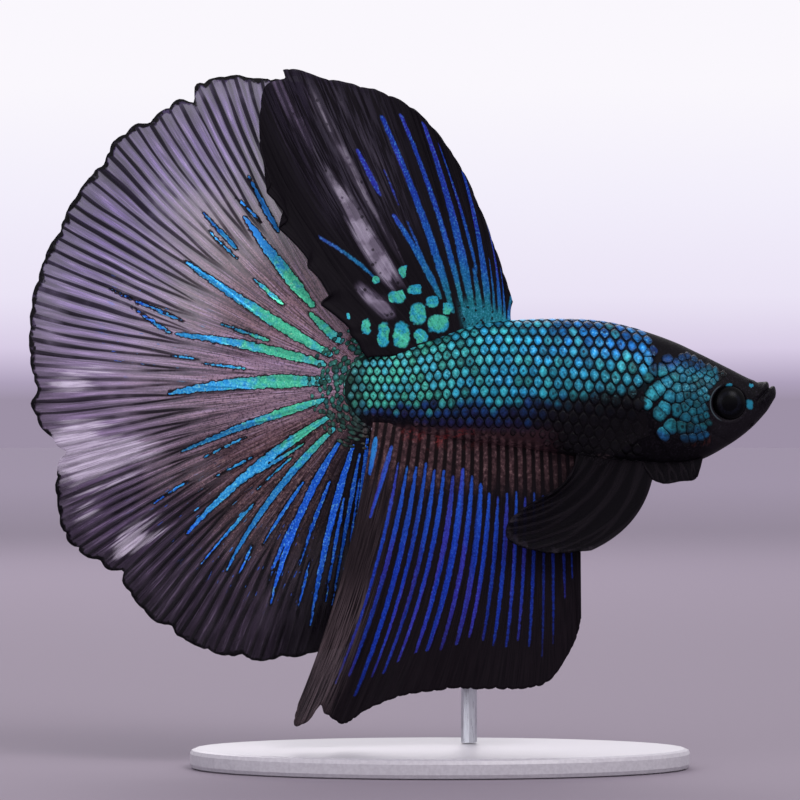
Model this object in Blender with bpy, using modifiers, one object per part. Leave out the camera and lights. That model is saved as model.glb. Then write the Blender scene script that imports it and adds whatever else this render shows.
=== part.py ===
"""A male halfmoon betta (Betta splendens), life size, held over a small oval base by one steel rod.

Metres, +Z up. The fish faces +X, so its right side is on -Y. The origin is the middle of the base's
underside. Sizes below are in millimetres and are turned into metres once, by MM, as points are made.
Every fin is a fan of rays: its sheet is stretched between them and given a thickness. The flesh of the
body is one smooth form, parted into head, jaw, gill covers, trunk and tail stalk by thin cuts.
"""

import math

import bmesh
import bpy
from mathutils import Matrix, Vector

MM = 0.001

# ---- the body, snout to tail stalk ----
SNOUT_X = 33.6
STALK_END_X = -9.7
# (x, height of the back, height of the belly, half width)
BODY_STATIONS = (
    (-9.7, 41.9, 33.8, 0.5),
    (-5.5, 41.9, 33.8, 1.3),
    (-3.6, 42.1, 33.5, 1.6),
    (0.0, 43.2, 33.0, 2.3),
    (4.0, 44.5, 32.4, 3.0),
    (8.0, 44.9, 31.9, 3.5),
    (12.0, 45.0, 31.3, 3.8),
    (16.0, 44.8, 30.7, 4.0),
    (20.0, 43.9, 30.4, 4.1),
    (23.0, 42.8, 30.3, 4.05),
    (26.0, 41.4, 30.8, 3.6),
    (29.0, 39.9, 32.4, 2.9),
    (31.0, 38.9, 33.9, 2.3),
    (32.6, 38.4, 35.6, 1.65),
    (33.3, 38.1, 36.7, 1.0),
    (33.6, 37.8, 37.2, 0.4),
)
WAIST_SHARE = 0.52  # how far up a section is widest
SECTION_POWER = 2.2  # 2 is an ellipse, more is squarer
STALK_ARC_CENTRE = (-5.5, 37.9)  # the stalk ends in this arc, where the tail rays are rooted
STALK_ARC_RADIUS = 4.2

# ---- how the flesh is parted ----
CUT = 0.1
GILL_CENTRE = (29.5, 37.3)  # the gill cover's rear edge is an arc round this point
GILL_RADIUS = 9.0
CHEEK_RADIUS = 4.6  # the cover's front edge, round the same point
GILL_INNER_Y = 2.5  # the cover is the flesh further out than this
STALK_CUT_X = -2.4
MOUTH_CORNER = (30.9, 36.1)
MOUTH_TIP = (33.1, 38.35)
CHIN = (29.3, 31.6)

# ---- the eyes ----
EYE_CENTRE = (28.7, 2.35, 36.5)
EYE_RADIUS = 1.75
EYE_DEPTH = 1.1

# ---- fins, as fans of rays ----
FIN_THICKNESS = 0.5
ROOT_GAP = 0.12

# Each tail ray: the angle of its tip round the stalk's arc, how far out the tip is, and its bow.
TAIL_RAYS = (
    (104, 31.55, 1.6),
    (112, 33.65, 1.4),
    (121, 35.05, 1.2),
    (131, 35.75, 1),
    (141, 36.35, 0.8),
    (151, 36.55, 0.6),
    (161, 36.65, 0.4),
    (171, 36.25, 0.2),
    (180, 34.85, 0),
    (190, 33.25, -0.2),
    (198, 34.75, -0.4),
    (206, 35.05, -0.6),
    (215, 32.65, -0.8),
    (225, 32.65, -1),
    (236, 31.45, -1.2),
    (246, 29.75, -0.7),
    (255, 27.35, 0.2),
    (262, 26.15, 0.6),
)
TAIL_ROOT_TURN = (108, 231)  # the same angle at the root, for the first and the last ray

# Each dorsal ray: its tip as (x, z), and how far it bows forward.
DORSAL_RAYS = (
    (7.3, 46.8, 0.2),
    (6.1, 50.3, -0.1),
    (4.6, 54.5, -0.4),
    (2.7, 58.9, -0.5),
    (0.6, 62.4, -0.6),
    (-1.8, 65.3, -0.6),
    (-4.6, 67.2, -0.5),
    (-7.9, 68.3, -0.2),
    (-11.4, 69.0, 0.3),
    (-15.3, 69.9, 0.9),
    (-17.5, 68.2, 1.4),
    (-18.1, 63.4, 1.9),
    (-17.3, 58.6, 2.1),
)
DORSAL_BASE_X = (7.2, -5.3)
DORSAL_LEAN = 2.4  # the rear rays lean this far to the fish's right
DORSAL_ROOT_SIDE = 0.95  # and are rooted this far off the midline

# Each anal ray: its tip as (x, z), and how far it bows forward.
ANAL_RAYS = (
    (14.1, 14.8, 0.0),
    (13.2, 11.9, 0.1),
    (11.0, 8.7, 0.2),
    (8.6, 7.9, 0.4),
    (6.2, 7.8, 0.6),
    (3.5, 7.8, 0.8),
    (0.8, 7.8, 1.1),
    (-2.0, 7.5, 1.3),
    (-4.8, 6.9, 1.4),
    (-7.5, 5.7, 1.4),
    (-9.8, 4.4, 1.3),
    (-11.7, 5.4, 1.2),
    (-14.4, 4.25, 1.1),
    (-14.1, 6.5, 0.9),
)
ANAL_BASE_X = (14.0, -6.7)
ANAL_LEAN = 2.2
ANAL_ROOT_SIDE = 0.5

# Each pelvic ray: its tip as (x, z), and how far it bows down and forward.
PELVIC_RAYS = (
    (15.0, 21.9, 1.7),
    (10.8, 21.6, 2.2),
    (7.0, 22.7, 2.2),
    (6.7, 24.5, 1.7),
    (8.4, 26.1, 1.1),
    (11.6, 27.8, 0.5),
)
PELVIC_BASE = ((21.4, 30.22), (15.2, 30.75))
PELVIC_SIDE = (1.0, 2.8)  # off the midline at the root and at the tips

# Each pectoral ray: its tip as (x, z), and how far it bows up.
PECTORAL_RAYS = (
    (17.2, 37.9, 0.2),
    (14.2, 37.2, 0.3),
    (12.4, 35.6, 0.2),
    (12.2, 33.4, 0.0),
    (13.5, 31.4, -0.2),
    (16.2, 30.2, -0.4),
)
PECTORAL_BASE = ((20.4, 35.5), (20.7, 33.3))
PECTORAL_SIDE = (4.15, 6.0)

# Each ray of the membrane under the gill cover: its tip as (x, z), and its bow.
THROAT_RAYS = (
    (25.7, 28.9, 0.1),
    (24.0, 28.6, 0.0),
    (22.8, 28.5, 0.0),
    (22.1, 28.9, -0.1),
)
THROAT_BASE = ((26.1, 30.6), (22.3, 30.1))
THROAT_SIDE = (1.0, 1.4)

# ---- the stand ----
BASE_LENGTH, BASE_WIDTH, BASE_HEIGHT = 50.0, 29.0, 2.0
BASE_EDGE = 0.5
ROD_RADIUS = 0.8
ROD_X, ROD_Y = 3.0, 6.0
ROD_TOP_Z = 37.6
ROD_BEND = 2.2

# ---- fineness of the solids ----
BODY_AROUND, BODY_ALONG = 26, 42
ROUND_SEGMENTS = 40

LEFT, RIGHT = 1, -1
SIDE_NAMES = {LEFT: "left", RIGHT: "right"}

COLOURS = {  # base colour, roughness, metallic
    "scales": ((0.02, 0.24, 0.28), 0.35, 0.5),
    "skin": ((0.012, 0.010, 0.014), 0.45, 0.0),
    "eye": ((0.004, 0.004, 0.006), 0.08, 0.0),
    "tail": ((0.10, 0.08, 0.11), 0.5, 0.0),
    "fin": ((0.02, 0.03, 0.16), 0.45, 0.2),
    "dark_fin": ((0.012, 0.010, 0.016), 0.5, 0.0),
    "base": ((0.62, 0.61, 0.63), 0.5, 0.0),
    "rod": ((0.55, 0.56, 0.58), 0.3, 1.0),
}


def clear_scene():
    for obj in list(bpy.data.objects):
        bpy.data.objects.remove(obj)


def new_collection(name):
    collection = bpy.data.collections.new(name)
    bpy.context.scene.collection.children.link(collection)
    return collection


def material(name):
    """The Principled material of this name, made the first time that it is asked for."""
    found = bpy.data.materials.get(name)
    if found:
        return found
    colour, roughness, metallic = COLOURS[name]
    made = bpy.data.materials.new(name)
    made.use_nodes = True
    shader = made.node_tree.nodes["Principled BSDF"]
    shader.inputs["Base Color"].default_value = (*colour, 1.0)
    shader.inputs["Roughness"].default_value = roughness
    shader.inputs["Metallic"].default_value = metallic
    return made


def add_object(name, mesh, collection, material_name=None):
    obj = bpy.data.objects.new(name, mesh)
    collection.objects.link(obj)
    if material_name:
        obj.data.materials.append(material(material_name))
    return obj


def mesh_from(bm, name):
    mesh = bpy.data.meshes.new(name)
    bm.to_mesh(mesh)
    bm.free()
    mesh.shade_smooth()
    return mesh


# ---- smooth curves through a few stations ----
def smooth(knots, values, at):
    """The value at `at` of a smooth curve through (knots, values): a cubic between each pair."""
    last = len(knots) - 1
    i = max(0, min(last - 1, sum(knot <= at for knot in knots) - 1))
    step = knots[i + 1] - knots[i]
    share = min(max((at - knots[i]) / step, 0.0), 1.0)

    def slope(j):
        a, b = max(j - 1, 0), min(j + 1, last)
        return (values[b] - values[a]) / (knots[b] - knots[a])

    h1 = share * share * (3 - 2 * share)
    rise_in = share * (1 - share) ** 2
    rise_out = share * share * (share - 1)
    return (
        values[i] * (1 - h1)
        + values[i + 1] * h1
        + step * (rise_in * slope(i) + rise_out * slope(i + 1))
    )


def along_rays(values, u):
    """A value given for each ray, read smoothly at ray number u."""
    return smooth(range(len(values)), values, u)


# ---- the body's form ----
def body_section(x):
    """(back, belly, half width) at x. The tail stalk's end is rounded off in an arc."""
    knots = [station[0] for station in BODY_STATIONS]
    back, belly, half_width = (
        smooth(knots, [station[i] for station in BODY_STATIONS], x) for i in (1, 2, 3)
    )
    arc_x, arc_z = STALK_ARC_CENTRE
    if x < arc_x:
        chord = math.sqrt(max(STALK_ARC_RADIUS**2 - (arc_x - x) ** 2, 0.0))
        back, belly = min(back, arc_z + chord), max(belly, arc_z - chord)
    return back, belly, half_width


def body_point(x, turn, reach=1.0):
    """A point of the body's surface in metres: turn goes round the section from the left side, up."""
    back, belly, half_width = body_section(x)
    waist = belly + WAIST_SHARE * (back - belly)
    side, up = math.cos(turn), math.sin(turn)
    power = 2 / SECTION_POWER
    y = half_width * math.copysign(abs(side) ** power, side)
    height = (back if up > 0 else belly) - waist
    z = waist + height * abs(up) ** power
    return Vector((x, y * reach, waist + (z - waist) * reach)) * MM


def body_mesh():
    """A sphere with its poles at the snout and the tail, drawn out to the body's sections."""
    bm = bmesh.new()
    bmesh.ops.create_uvsphere(bm, u_segments=BODY_AROUND, v_segments=BODY_ALONG, radius=1.0)
    for vert in bm.verts:
        x = STALK_END_X + (SNOUT_X - STALK_END_X) * (1 + vert.co.z) / 2
        off_axis = math.hypot(vert.co.x, vert.co.y)
        at_pole = off_axis < 1e-4
        vert.co = body_point(x, math.atan2(vert.co.y, vert.co.x), 0.0 if at_pole else 1.0)
    bmesh.ops.recalc_face_normals(bm, faces=bm.faces)
    return mesh_from(bm, "body_form")


# ---- cutters ----
def disc_cutter(name, radius, near_y, far_y, helpers):
    """A drum along Y round the gill's centre, between two values of y."""
    bm = bmesh.new()
    bmesh.ops.create_cone(
        bm,
        cap_ends=True,
        segments=ROUND_SEGMENTS,
        radius1=radius * MM,
        radius2=radius * MM,
        depth=abs(far_y - near_y) * MM,
        matrix=Matrix.Translation(
            Vector((GILL_CENTRE[0], (near_y + far_y) / 2, GILL_CENTRE[1])) * MM
        )
        @ Matrix.Rotation(math.pi / 2, 4, "X"),
    )
    return hidden(add_object(name, mesh_from(bm, name), helpers))


def block_cutter(name, low, high, helpers):
    """A box between two corners."""
    low, high = Vector(low) * MM, Vector(high) * MM
    bm = bmesh.new()
    bmesh.ops.create_cube(
        bm,
        size=1.0,
        matrix=Matrix.Translation((low + high) / 2) @ Matrix.Diagonal((*(high - low), 1.0)),
    )
    return hidden(add_object(name, mesh_from(bm, name), helpers))


def eye_mesh(grow):
    """A lens-shaped ball, its widest circle facing sideways."""
    bm = bmesh.new()
    bmesh.ops.create_uvsphere(bm, u_segments=18, v_segments=10, radius=1.0)
    radius, depth = (EYE_RADIUS + grow) * MM, (EYE_DEPTH + grow) * MM
    shape = Matrix.Diagonal((radius, depth, radius, 1.0)) @ Matrix.Rotation(math.pi / 2, 4, "X")
    bmesh.ops.transform(bm, matrix=shape, verts=bm.verts)
    return mesh_from(bm, "eye_ball")


def jaw_cutter(name, grow, helpers):
    """A slab through the head whose rear edges are the gape of the mouth and the jaw's hinge line."""
    ahead = 5.0
    outline = [
        MOUTH_TIP,
        MOUTH_CORNER,
        CHIN,
        (CHIN[0], CHIN[1] - ahead),
        (SNOUT_X + ahead, CHIN[1] - ahead),
        (SNOUT_X + ahead, MOUTH_TIP[1] + ahead),
        (MOUTH_TIP[0] + 0.9, MOUTH_TIP[1] + ahead),
    ]
    bm = bmesh.new()
    corners = [bm.verts.new(Vector((x - grow, -ahead, z + grow)) * MM) for x, z in outline]
    face = bm.faces.new(corners)
    swept = bmesh.ops.extrude_face_region(bm, geom=[face])
    moved = [item for item in swept["geom"] if isinstance(item, bmesh.types.BMVert)]
    bmesh.ops.translate(bm, verts=moved, vec=Vector((0, 2 * ahead, 0)) * MM)
    bmesh.ops.recalc_face_normals(bm, faces=bm.faces)
    return hidden(add_object(name, mesh_from(bm, name), helpers))


def gill_cutter(name, side, grow, helpers):
    """A half ring of flesh on one side: between the cheek's arc and the cover's rear edge."""
    inner, outer = GILL_INNER_Y - grow, 8.0
    ring = disc_cutter(name, GILL_RADIUS + grow, side * inner, side * outer, helpers)
    cheek = disc_cutter(
        name + "_cheek", CHEEK_RADIUS - grow, side * (inner - 1), side * (outer + 1), helpers
    )
    top_z = GILL_CENTRE[1] + 3.6 + grow
    crown = block_cutter(name + "_crown", (15, -12, top_z), (40, 12, top_z + 15), helpers)
    front_x = GILL_CENTRE[0] - 1.0 + grow
    front = block_cutter(name + "_front", (front_x, -12, 20), (45, 12, 60), helpers)
    for block in (cheek, crown, front):
        cut(ring, "DIFFERENCE", block)
    return ring


def hidden(obj):
    """Marks a helper, which is no part of the fish."""
    obj.hide_render = True
    obj.display_type = "WIRE"
    return obj


def cut(obj, operation, other):
    modifier = obj.modifiers.new(f"{operation.lower()}_{other.name}", "BOOLEAN")
    modifier.operation = operation
    modifier.object = other
    modifier.solver = "EXACT"


# ---- the flesh, parted ----
def add_flesh(parts, helpers):
    form = body_mesh()

    def flesh(name, material_name="scales"):
        return add_object(name, form.copy(), parts, material_name)

    face = disc_cutter("cutter_face", GILL_RADIUS, -9, 9, helpers)
    face_gap = disc_cutter("cutter_face_gap", GILL_RADIUS + CUT, -9, 9, helpers)
    stalk = block_cutter("cutter_stalk", (-20, -9, 20), (STALK_CUT_X, 9, 60), helpers)
    stalk_gap = block_cutter("cutter_stalk_gap", (-20, -9, 20), (STALK_CUT_X + CUT, 9, 60), helpers)
    jaw = jaw_cutter("cutter_jaw", 0.0, helpers)
    jaw_gap = jaw_cutter("cutter_jaw_gap", CUT, helpers)

    head = flesh("head", "skin")
    cut(head, "INTERSECT", face)
    cut(head, "DIFFERENCE", jaw_gap)
    trunk = flesh("trunk")
    cut(trunk, "DIFFERENCE", face_gap)
    cut(trunk, "DIFFERENCE", stalk_gap)
    cut(flesh("tail_stalk"), "INTERSECT", stalk)
    cut(flesh("lower_jaw", "skin"), "INTERSECT", jaw)
    for side, side_name in SIDE_NAMES.items():
        cover = flesh(f"gill_cover_{side_name}")
        cut(cover, "INTERSECT", gill_cutter(f"cutter_gill_{side_name}", side, 0.0, helpers))
        cut(head, "DIFFERENCE", gill_cutter(f"cutter_gill_gap_{side_name}", side, CUT, helpers))
        x, y, z = EYE_CENTRE
        place = Matrix.Translation(Vector((x, side * y, z)) * MM)
        eye = add_object(f"eye_{side_name}", eye_mesh(0.0), parts, "eye")
        socket = hidden(add_object(f"cutter_socket_{side_name}", eye_mesh(CUT), helpers))
        eye.matrix_world = socket.matrix_world = place
        cut(head, "DIFFERENCE", socket)
        cut(cover, "DIFFERENCE", socket)


# ---- fins ----
def ray_line(root, tip, bow, v):
    """A point at share v of one ray, in the fin's own plane (x, z). It bows to the left of its way."""
    way = tip - root
    across = Vector((-way.y, way.x)).normalized()
    return root + way * v + across * (4 * bow * v * (1 - v))


def add_fin(name, point, across, along, parts, material_name):
    """A sheet from point(u, v), u and v from 0 to 1, with the fin's thickness."""
    bm = bmesh.new()
    bmesh.ops.create_grid(bm, x_segments=across, y_segments=along, size=1.0)
    for vert in bm.verts:
        vert.co = point((vert.co.x + 1) / 2, (vert.co.y + 1) / 2) * MM
    obj = add_object(name, mesh_from(bm, name), parts, material_name)
    solidify = obj.modifiers.new("thickness", "SOLIDIFY")
    solidify.thickness = FIN_THICKNESS * MM
    solidify.offset = 0.0
    return obj


def tail_point(u, v):
    """The tail fans out round the stalk's arc. It leans left at its upper and lower edges, and ripples."""
    ray = u * (len(TAIL_RAYS) - 1)
    tip_turn, reach, bow = (along_rays([r[i] for r in TAIL_RAYS], ray) for i in (0, 1, 2))
    tip_turn = math.radians(tip_turn)
    first, last = TAIL_ROOT_TURN
    root_turn = math.radians(first + (last - first) * u)
    centre = Vector(STALK_ARC_CENTRE)
    root_reach = STALK_ARC_RADIUS + ROOT_GAP
    root = centre + root_reach * Vector((math.cos(root_turn), math.sin(root_turn)))
    tip = centre + reach * Vector((math.cos(tip_turn), math.sin(tip_turn)))
    flat = ray_line(root, tip, bow, v)
    lean = (1.9 * (1 - 2 * u) ** 2 + 0.2) * v
    ripple = 1.1 * v * v * math.sin(2 * math.pi * (3.2 * u + 0.1))
    return Vector((flat.x, lean + ripple, flat.y))


def dorsal_point(u, v):
    """The dorsal fin stands on the back. Its rear rays root off the midline and lean to the right."""
    ray = u * (len(DORSAL_RAYS) - 1)
    tip_x, tip_z, bow = (along_rays([r[i] for r in DORSAL_RAYS], ray) for i in (0, 1, 2))
    front, rear = DORSAL_BASE_X
    root_x = front + (rear - front) * u
    root_side = DORSAL_ROOT_SIDE * u**3
    root_z = body_section(root_x)[0] + ROOT_GAP - 0.25 * root_side
    flat = ray_line(Vector((root_x, root_z)), Vector((tip_x, tip_z)), bow, v)
    lean = root_side + DORSAL_LEAN * u**2 * v**0.8
    ripple = 0.35 * v * math.sin(2 * math.pi * 2.5 * u)
    return Vector((flat.x, -lean + ripple, flat.y))


def anal_point(u, v):
    """The anal fin hangs from the belly. Its rear rays sweep back and lean to the right."""
    ray = u * (len(ANAL_RAYS) - 1)
    tip_x, tip_z, bow = (along_rays([r[i] for r in ANAL_RAYS], ray) for i in (0, 1, 2))
    front, rear = ANAL_BASE_X
    root_x = front + (rear - front) * u
    root_side = ANAL_ROOT_SIDE * u**3
    root_z = body_section(root_x)[1] - ROOT_GAP
    flat = ray_line(Vector((root_x, root_z)), Vector((tip_x, tip_z)), bow, v)
    lean = root_side + ANAL_LEAN * u**2 * v
    ripple = 0.4 * v * math.sin(2 * math.pi * 3 * u)
    return Vector((flat.x, -lean + ripple, flat.y))


def paired_point(rays, base, sides, side, u, v):
    """A point of a paired fin, rooted along the line base and spread from sides[0] to sides[1]."""
    ray = u * (len(rays) - 1)
    tip_x, tip_z, bow = (along_rays([r[i] for r in rays], ray) for i in (0, 1, 2))
    root = Vector(base[0]).lerp(Vector(base[1]), u)
    flat = ray_line(root, Vector((tip_x, tip_z)), bow, v)
    off = sides[0] + (sides[1] - sides[0]) * v
    return Vector((flat.x, side * off, flat.y))


def add_fins(parts):
    add_fin("tail_fin", tail_point, 42, 8, parts, "tail")
    add_fin("dorsal_fin", dorsal_point, 26, 7, parts, "fin")
    add_fin("anal_fin", anal_point, 30, 7, parts, "fin")
    paired = (
        ("pelvic_fin", PELVIC_RAYS, PELVIC_BASE, PELVIC_SIDE, 10, 8),
        ("pectoral_fin", PECTORAL_RAYS, PECTORAL_BASE, PECTORAL_SIDE, 10, 4),
        ("gill_membrane", THROAT_RAYS, THROAT_BASE, THROAT_SIDE, 6, 2),
    )
    for name, rays, base, sides, across, along in paired:
        for side, side_name in SIDE_NAMES.items():

            def point(u, v, rays=rays, base=base, sides=sides, side=side):
                return paired_point(rays, base, sides, side, u, v)

            add_fin(f"{name}_{side_name}", point, across, along, parts, "dark_fin")


# ---- the stand ----
def add_stand(parts):
    bm = bmesh.new()
    bmesh.ops.create_cone(
        bm, cap_ends=True, segments=ROUND_SEGMENTS, radius1=0.5, radius2=0.5, depth=1.0
    )
    size = Vector((BASE_LENGTH, BASE_WIDTH, BASE_HEIGHT)) * MM
    bmesh.ops.transform(bm, matrix=Matrix.Diagonal((*size, 1.0)), verts=bm.verts)
    bmesh.ops.translate(bm, verts=bm.verts, vec=(0, 0, size.z / 2))
    rims = [edge for edge in bm.edges if edge.verts[0].co.z == edge.verts[1].co.z]
    bmesh.ops.bevel(
        bm, geom=rims, offset=BASE_EDGE * MM, segments=2, profile=0.5, affect="EDGES", material=-1
    )
    add_object("stand_base", mesh_from(bm, "stand_base"), parts, "base")

    flank_y = body_point(ROD_X, 0.0).y / MM
    curve = bpy.data.curves.new("stand_rod", "CURVE")
    curve.dimensions = "3D"
    curve.bevel_depth = ROD_RADIUS * MM
    curve.bevel_resolution = 2
    curve.use_fill_caps = True
    path = [(ROD_Y, BASE_HEIGHT + CUT)]
    steps = 6
    for i in range(steps + 1):
        turn = math.pi / 2 * i / steps
        path.append(
            (
                ROD_Y - ROD_BEND * (1 - math.cos(turn)),
                ROD_TOP_Z - ROD_BEND * (1 - math.sin(turn)),
            )
        )
    path.append((flank_y + CUT, ROD_TOP_Z))
    spline = curve.splines.new("POLY")
    spline.points.add(len(path) - 1)
    for point, (y, z) in zip(spline.points, path, strict=True):
        point.co = (ROD_X * MM, y * MM, z * MM, 1.0)
    rod = add_object("stand_rod", curve, parts)
    rod.data.materials.append(material("rod"))


def main():
    clear_scene()
    parts = new_collection("betta_fish")
    helpers = new_collection("cutters")
    add_flesh(parts, helpers)
    add_fins(parts)
    add_stand(parts)


main()
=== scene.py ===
"""A male halfmoon betta on its display stand: skin, scales, eyes and fins, with their finishes."""

import math
import random
from functools import partial

import bmesh
import bpy
import numpy as np
from mathutils import Matrix, Vector, noise


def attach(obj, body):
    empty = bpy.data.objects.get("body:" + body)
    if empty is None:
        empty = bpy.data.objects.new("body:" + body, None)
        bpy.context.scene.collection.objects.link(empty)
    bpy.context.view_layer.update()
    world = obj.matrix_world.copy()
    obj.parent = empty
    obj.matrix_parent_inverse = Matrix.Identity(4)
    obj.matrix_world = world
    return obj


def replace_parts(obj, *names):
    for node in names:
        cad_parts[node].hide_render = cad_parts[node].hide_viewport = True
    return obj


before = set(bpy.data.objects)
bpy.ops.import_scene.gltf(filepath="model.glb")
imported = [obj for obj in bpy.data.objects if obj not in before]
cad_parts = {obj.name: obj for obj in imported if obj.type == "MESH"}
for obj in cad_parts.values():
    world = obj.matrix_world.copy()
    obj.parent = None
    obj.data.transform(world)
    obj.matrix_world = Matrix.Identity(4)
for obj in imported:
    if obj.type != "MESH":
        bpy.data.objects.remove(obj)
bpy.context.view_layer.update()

MM = 0.001
LEFT, RIGHT = 1, -1
SIDES = {LEFT: "left", RIGHT: "right"}

# ---- the body: (x, back, belly, half width), all sizes in millimetres ----
BODY_STATIONS = (
    (-9.7, 41.9, 33.8, 0.5),
    (-5.5, 41.9, 33.8, 1.3),
    (-3.6, 42.1, 33.5, 1.6),
    (0.0, 43.2, 33.0, 2.3),
    (4.0, 44.5, 32.4, 3.0),
    (8.0, 44.9, 31.9, 3.5),
    (12.0, 45.0, 31.3, 3.8),
    (16.0, 44.8, 30.7, 4.0),
    (20.0, 43.9, 30.4, 4.1),
    (23.0, 42.8, 30.3, 4.05),
    (26.0, 41.4, 30.8, 3.6),
    (29.0, 39.9, 32.4, 2.9),
    (31.0, 38.9, 33.9, 2.3),
    (32.6, 38.4, 35.6, 1.65),
    (33.3, 38.1, 36.7, 1.0),
    (33.6, 37.8, 37.2, 0.4),
)
WAIST_SHARE = 0.52
SECTION_POWER = 2.2
STALK_ARC_CENTRE = (-5.5, 37.9)
STALK_ARC_RADIUS = 4.2
GILL_CENTRE = (29.5, 37.3)
GILL_RADIUS = 9.0
CHEEK_RADIUS = 4.6
MOUTH_CORNER = (31.6, 36.7)
MOUTH_TIP = (33.1, 38.35)
NOSTRIL = (31.0, 1.35, 38.0)
EYE_CENTRE = (28.7, 2.35, 36.5)
EYE_RADIUS = 1.75
EYE_DEPTH = 1.1

# ---- scales ----
COAT_DEPTH = 0.1  # how deep the skin lies under the scales
SCALE_PITCH = 0.97
ROW_PITCH = 1.07
STALK_SHARE = 0.78  # the size of the tail stalk's scales, as a share of the trunk's
COAT_LENGTH = 45  # how much of the body the coat's map spans
PATCH = 0.0015  # half the width of each scale's patch in that map

# ---- fins: each ray's tip (x, z), then its bow; the tail's tips are (turn, reach) ----
TAIL_RAYS = (
    (104, 31.75, 1.6),
    (112, 33.95, 1.4),
    (121, 35.65, 1.2),
    (131, 35.95, 1.0),
    (141, 36.6, 0.8),
    (151, 36.7, 0.6),
    (161, 36.75, 0.4),
    (171, 36.25, 0.2),
    (180, 35.1, 0.0),
    (190, 33.4, -0.2),
    (198, 34.75, -0.4),
    (206, 35.4, -0.6),
    (215, 33.0, -0.8),
    (225, 32.95, -1.0),
    (236, 31.75, -1.2),
    (246, 30.0, -0.7),
    (255, 27.6, 0.2),
    (262, 26.25, 0.6),
)
# The deeper notches in the tail's margin: where along it, and how deep.
TAIL_NOTCHES = (
    (0.134, 0.9),
    (0.181, 0.4),
    (0.238, 0.5),
    (0.312, 0.4),
    (0.469, 0.3),
    (0.537, 0.8),
    (0.681, 0.3),
    (0.705, 0.8),
    (0.781, 0.7),
    (0.856, 0.6),
    (0.900, 0.5),
)
# Where the margin swells out: it starts, is full from and to, ends, and by how much.
TAIL_SWELLS = (
    (0.06, 0.085, 0.122, 0.130, 0.45),
    (0.17, 0.190, 0.215, 0.235, 0.45),
    (0.47, 0.487, 0.503, 0.525, 0.95),
)
TAIL_ROOT_TURN = (108, 245)
TAIL_ROOT_RADIUS = 3.2
TAIL_LEAN, TAIL_RIPPLE = 1.9, 1.1
TAIL_STEMS = 10
# How each margin is lobed: how many lobes, how deep, and their seed.
TAIL_LOBES = (44, 0.42, 1.0)
DORSAL_LOBES = (15, 0.34, 2.0)
ANAL_LOBES = (30, 0.26, 3.0)
ROOT_DEPTH = 0.7  # how deep the dorsal and anal fins' roots lie in the body

DORSAL_RAYS = (
    (7.3, 46.8, 0.2),
    (6.1, 50.3, -0.1),
    (4.6, 54.5, -0.4),
    (2.7, 58.9, -0.5),
    (0.6, 62.4, -0.6),
    (-1.8, 65.3, -0.6),
    (-4.6, 67.2, -0.5),
    (-7.9, 68.3, -0.2),
    (-11.4, 69.0, 0.3),
    (-15.3, 69.9, 0.9),
    (-17.5, 68.2, 1.4),
    (-18.1, 63.4, 1.6),
    (-17.3, 58.6, 0.5),
)
DORSAL_BASE_X = (7.2, -7.3)
# Where the dorsal fin's rays leave the back: u, and the share of the base's length.
DORSAL_BASE_SHARES = (
    (0.0, 0.0),
    (0.3, 0.165),
    (0.5, 0.355),
    (0.65, 0.45),
    (0.8, 0.54),
    (0.92, 0.68),
    (1.0, 1.0),
)
# Tongues along the rear edge: how far up, how far out, how long.
DORSAL_TONGUES = (
    (0.94, 0.8, 0.12),
    (0.74, 1.3, 0.2),
    (0.52, 0.5, 0.08),
    (0.31, 1.4, 0.17),
    (0.13, 0.4, 0.06),
)
DORSAL_LEAN = 2.4
DORSAL_ROOT_SIDE = 0.95
DORSAL_STEMS = 13

ANAL_RAYS = (
    (14.1, 14.8, 0.0),
    (13.2, 11.9, 0.1),
    (11.0, 8.7, 0.2),
    (8.6, 7.9, 0.4),
    (6.2, 7.8, 0.6),
    (3.5, 7.8, 0.8),
    (0.8, 7.8, 1.1),
    (-2.0, 7.5, 1.3),
    (-4.8, 6.9, 1.4),
    (-7.5, 5.7, 1.4),
    (-9.8, 4.4, 1.3),
    (-11.7, 5.4, 1.2),
    (-14.4, 4.25, 1.1),
    (-14.1, 6.5, 0.9),
)
ANAL_BASE_X = (14.0, -6.7)
ANAL_LEAN = 2.2
ANAL_ROOT_SIDE = 0.5
ANAL_STEMS = 24

PELVIC_RAYS = (
    (15.0, 21.9, 1.7),
    (10.8, 21.6, 2.2),
    (7.0, 22.7, 2.2),
    (6.7, 24.5, 1.7),
    (8.4, 26.1, 1.1),
    (11.6, 27.8, 0.5),
)
PELVIC_BASE = ((21.5, 31.1), (13.6, 31.7))
PELVIC_SIDE = (1.0, 2.8)

PECTORAL_RAYS = (
    (17.2, 37.9, 0.2),
    (14.2, 37.2, 0.3),
    (12.4, 35.6, 0.2),
    (12.2, 33.4, 0.0),
    (13.5, 31.4, -0.2),
    (16.2, 30.2, -0.4),
)
PECTORAL_BASE = ((20.4, 35.5), (20.7, 33.3))
PECTORAL_SIDE = (4.15, 6.0)

THROAT_RAYS = (
    (25.6, 29.2, 0.1),
    (25.2, 28.8, 0.0),
    (24.0, 28.7, 0.0),
    (22.4, 28.45, 0.0),
    (21.1, 28.9, -0.1),
)
THROAT_BASE = ((26.3, 31.6), (19.8, 31.3))
THROAT_SIDE = (1.0, 1.4)


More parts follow.
